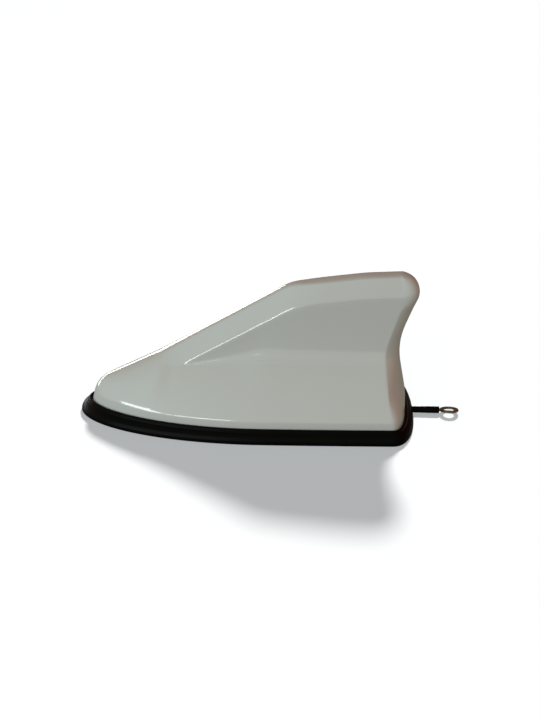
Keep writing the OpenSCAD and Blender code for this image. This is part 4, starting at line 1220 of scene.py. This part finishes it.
class AERIAL_OT_stage(bpy.types.Operator):
    """Makes the floor, the room light, the window, fill and back lamps, and the camera"""

    bl_idname = "aerial.stage"
    bl_label = "Studio"

    def execute(self, context):
        s = context.scene.aerial_studio
        scene = context.scene
        scene.view_settings.view_transform = "Standard"
        camera = bpy.data.cameras.new("Camera")
        camera.sensor_fit = "VERTICAL"
        camera.sensor_height = 36
        camera.lens = s.lens
        camera.shift_y = CAMERA_SHIFT
        camera.clip_start, camera.clip_end = 0.01, 50
        view = bpy.data.objects.new("Camera", camera)
        view.location = CAMERA_PLACE
        aim = Vector(CAMERA_AIM) - view.location
        view.rotation_euler = aim.to_track_quat("-Z", "Y").to_euler()
        scene.collection.objects.link(view)
        scene.camera = view
        floor = self.floor(scene)
        self.room(scene, s)
        # The window draws the bright lines along the edges
        self.lamp(scene, "Window", WINDOW_PLACE, WINDOW_SIZE, s.window, WINDOW_COLOUR)
        # The fill lights the side that the camera doesn't see
        self.lamp(scene, "Back fill", FILL_PLACE, FILL_SIZE, s.fill, FILL_COLOUR)
        self.back_lamp(scene, s, floor)
        return {"FINISHED"}

    def floor(self, scene):
        bm = bmesh.new()
        bmesh.ops.create_circle(bm, cap_ends=True, segments=96, radius=FLOOR_RADIUS)
        mesh = bpy.data.meshes.new("floor")
        bm.to_mesh(mesh)
        bm.free()
        mesh.transform(Matrix.Translation((0, 0, -FLOOR_DROP)))
        floor = bpy.data.objects.new("floor", mesh)
        scene.collection.objects.link(floor)
        mat = bpy.data.materials.new("Pale floor")
        mat.use_nodes = True
        n, l = mat.node_tree.nodes, mat.node_tree.links
        n.clear()
        out, add = n.new("ShaderNodeOutputMaterial"), n.new("ShaderNodeAddShader")
        diffuse, glow, dim = (n.new("ShaderNode" + kind) for kind in ("BsdfDiffuse", "Emission", "Emission"))
        diffuse.inputs["Color"].default_value = FLOOR_COLOUR
        for node, (colour, strength) in ((glow, FLOOR_GLOW), (dim, FLOOR_LIGHT)):
            node.inputs["Color"].default_value = colour
            node.inputs["Strength"].default_value = strength
        l.new(diffuse.outputs[0], add.inputs[0])
        l.new(glow.outputs[0], add.inputs[1])
        # The camera sees the white floor, while the aerial is lit by a dimmer one
        seen = n.new("ShaderNodeLightPath").outputs["Is Camera Ray"]
        above = mixed_shader(n, l, seen, dim.outputs[0], add.outputs[0])
        # Seen from below, the floor is clear, so that the underside shows
        below = n.new("ShaderNodeNewGeometry").outputs["Backfacing"]
        clear = n.new("ShaderNodeBsdfTransparent").outputs[0]
        l.new(mixed_shader(n, l, below, above, clear), out.inputs["Surface"])
        mesh.materials.append(mat)
        return floor

    def room(self, scene, s):
        """Light that changes evenly across the room, from cool at the front left to dim and warm behind."""
        world = bpy.data.worlds.new("Room")
        scene.world = world
        world.use_nodes = True
        n, l = world.node_tree.nodes, world.node_tree.links
        n.clear()
        direction = n.new("ShaderNodeTexCoord").outputs["Generated"]
        join = n.new("ShaderNodeCombineColor")
        for channel, (middle, rise) in ROOM_LIGHT.items():
            slope = n.new("ShaderNodeVectorMath")
            slope.operation = "DOT_PRODUCT"
            l.new(direction, slope.inputs[0])
            slope.inputs[1].default_value = rise
            value = maths(n, l, "ADD", slope.outputs["Value"], middle)
            l.new(maths(n, l, "MAXIMUM", value, ROOM_LEAST), join.inputs[channel])
        room, backdrop = n.new("ShaderNodeBackground"), n.new("ShaderNodeBackground")
        l.new(join.outputs[0], room.inputs["Color"])
        room.inputs["Strength"].default_value = s.room
        backdrop.inputs["Color"].default_value = (1, 1, 1, 1)
        seen, out = n.new("ShaderNodeLightPath").outputs["Is Camera Ray"], n.new("ShaderNodeOutputWorld")
        l.new(mixed_shader(n, l, seen, room.outputs[0], backdrop.outputs[0]), out.inputs["Surface"])

    def lamp(self, scene, name, place, size, brightness, colour):
        """Rectangular lamp at a place round the aerial, facing it."""
        light = bpy.data.lights.new(name, "AREA")
        light.shape = "RECTANGLE"
        light.size, light.size_y = size
        light.color = colour
        light.energy = brightness * size[0] * size[1] * math.pi
        lamp = bpy.data.objects.new(name, light)
        aim = Vector(LAMP_AIM)
        lamp.location = aim + Vector(place)
        lamp.rotation_euler = (aim - lamp.location).to_track_quat("-Z", "Y").to_euler()
        scene.collection.objects.link(lamp)

    def back_lamp(self, scene, s, floor):
        """Lamp high behind the fin that lights the floor alone and throws the fin's shadow forwards."""
        light = bpy.data.lights.new("Back lamp", "SUN")
        light.energy = s.back
        light.angle = math.radians(BACK_DEGREES)
        lamp = bpy.data.objects.new("Back lamp", light)
        lamp.rotation_euler = Vector(BACK_DIRECTION).to_track_quat("-Z", "Y").to_euler()
        scene.collection.objects.link(lamp)
        only = bpy.data.collections.new("Lit by the back lamp")
        only.objects.link(floor)
        lamp.light_linking.receiver_collection = only


class AERIAL_PT_panel(bpy.types.Panel):
    """Lists the steps that dress the aerial"""

    bl_idname = "AERIAL_PT_panel"
    bl_label = "Shark fin aerial"
    bl_space_type = "VIEW_3D"
    bl_region_type = "UI"
    bl_category = "Aerial"

    def draw(self, context):
        for step in STEPS:
            self.layout.operator(step)
        for name in SETTINGS:
            group = getattr(context.scene, name)
            box = self.layout.box()
            for key in group.bl_rna.properties.keys():
                if key not in {"rna_type", "name"}:
                    box.prop(group, key)


SETTINGS = {
    "aerial_cover": CoverSettings,
    "aerial_gasket": GasketSettings,
    "aerial_lead": LeadSettings,
    "aerial_fixings": FixingSettings,
    "aerial_studio": StudioSettings,
}
STEPS = ["aerial.stage", "aerial.finishes", "aerial.lead", "aerial.cover", "aerial.gasket", "aerial.base",
         "aerial.board", "aerial.radiator"]
CLASSES = [*SETTINGS.values(), AERIAL_OT_stage, AERIAL_OT_finishes, AERIAL_OT_lead, AERIAL_OT_cover,
           AERIAL_OT_gasket, AERIAL_OT_base, AERIAL_OT_board, AERIAL_OT_radiator, AERIAL_PT_panel]


def register():
    for cls in CLASSES:
        bpy.utils.register_class(cls)
    for name, cls in SETTINGS.items():
        setattr(bpy.types.Scene, name, bpy.props.PointerProperty(type=cls))


def unregister():
    for name in SETTINGS:
        delattr(bpy.types.Scene, name)
    for cls in reversed(CLASSES):
        bpy.utils.unregister_class(cls)


def main():
    register()
    for step in STEPS:
        family, name = step.split(".")
        getattr(getattr(bpy.ops, family), name)()


if __name__ == "__main__":
    main()
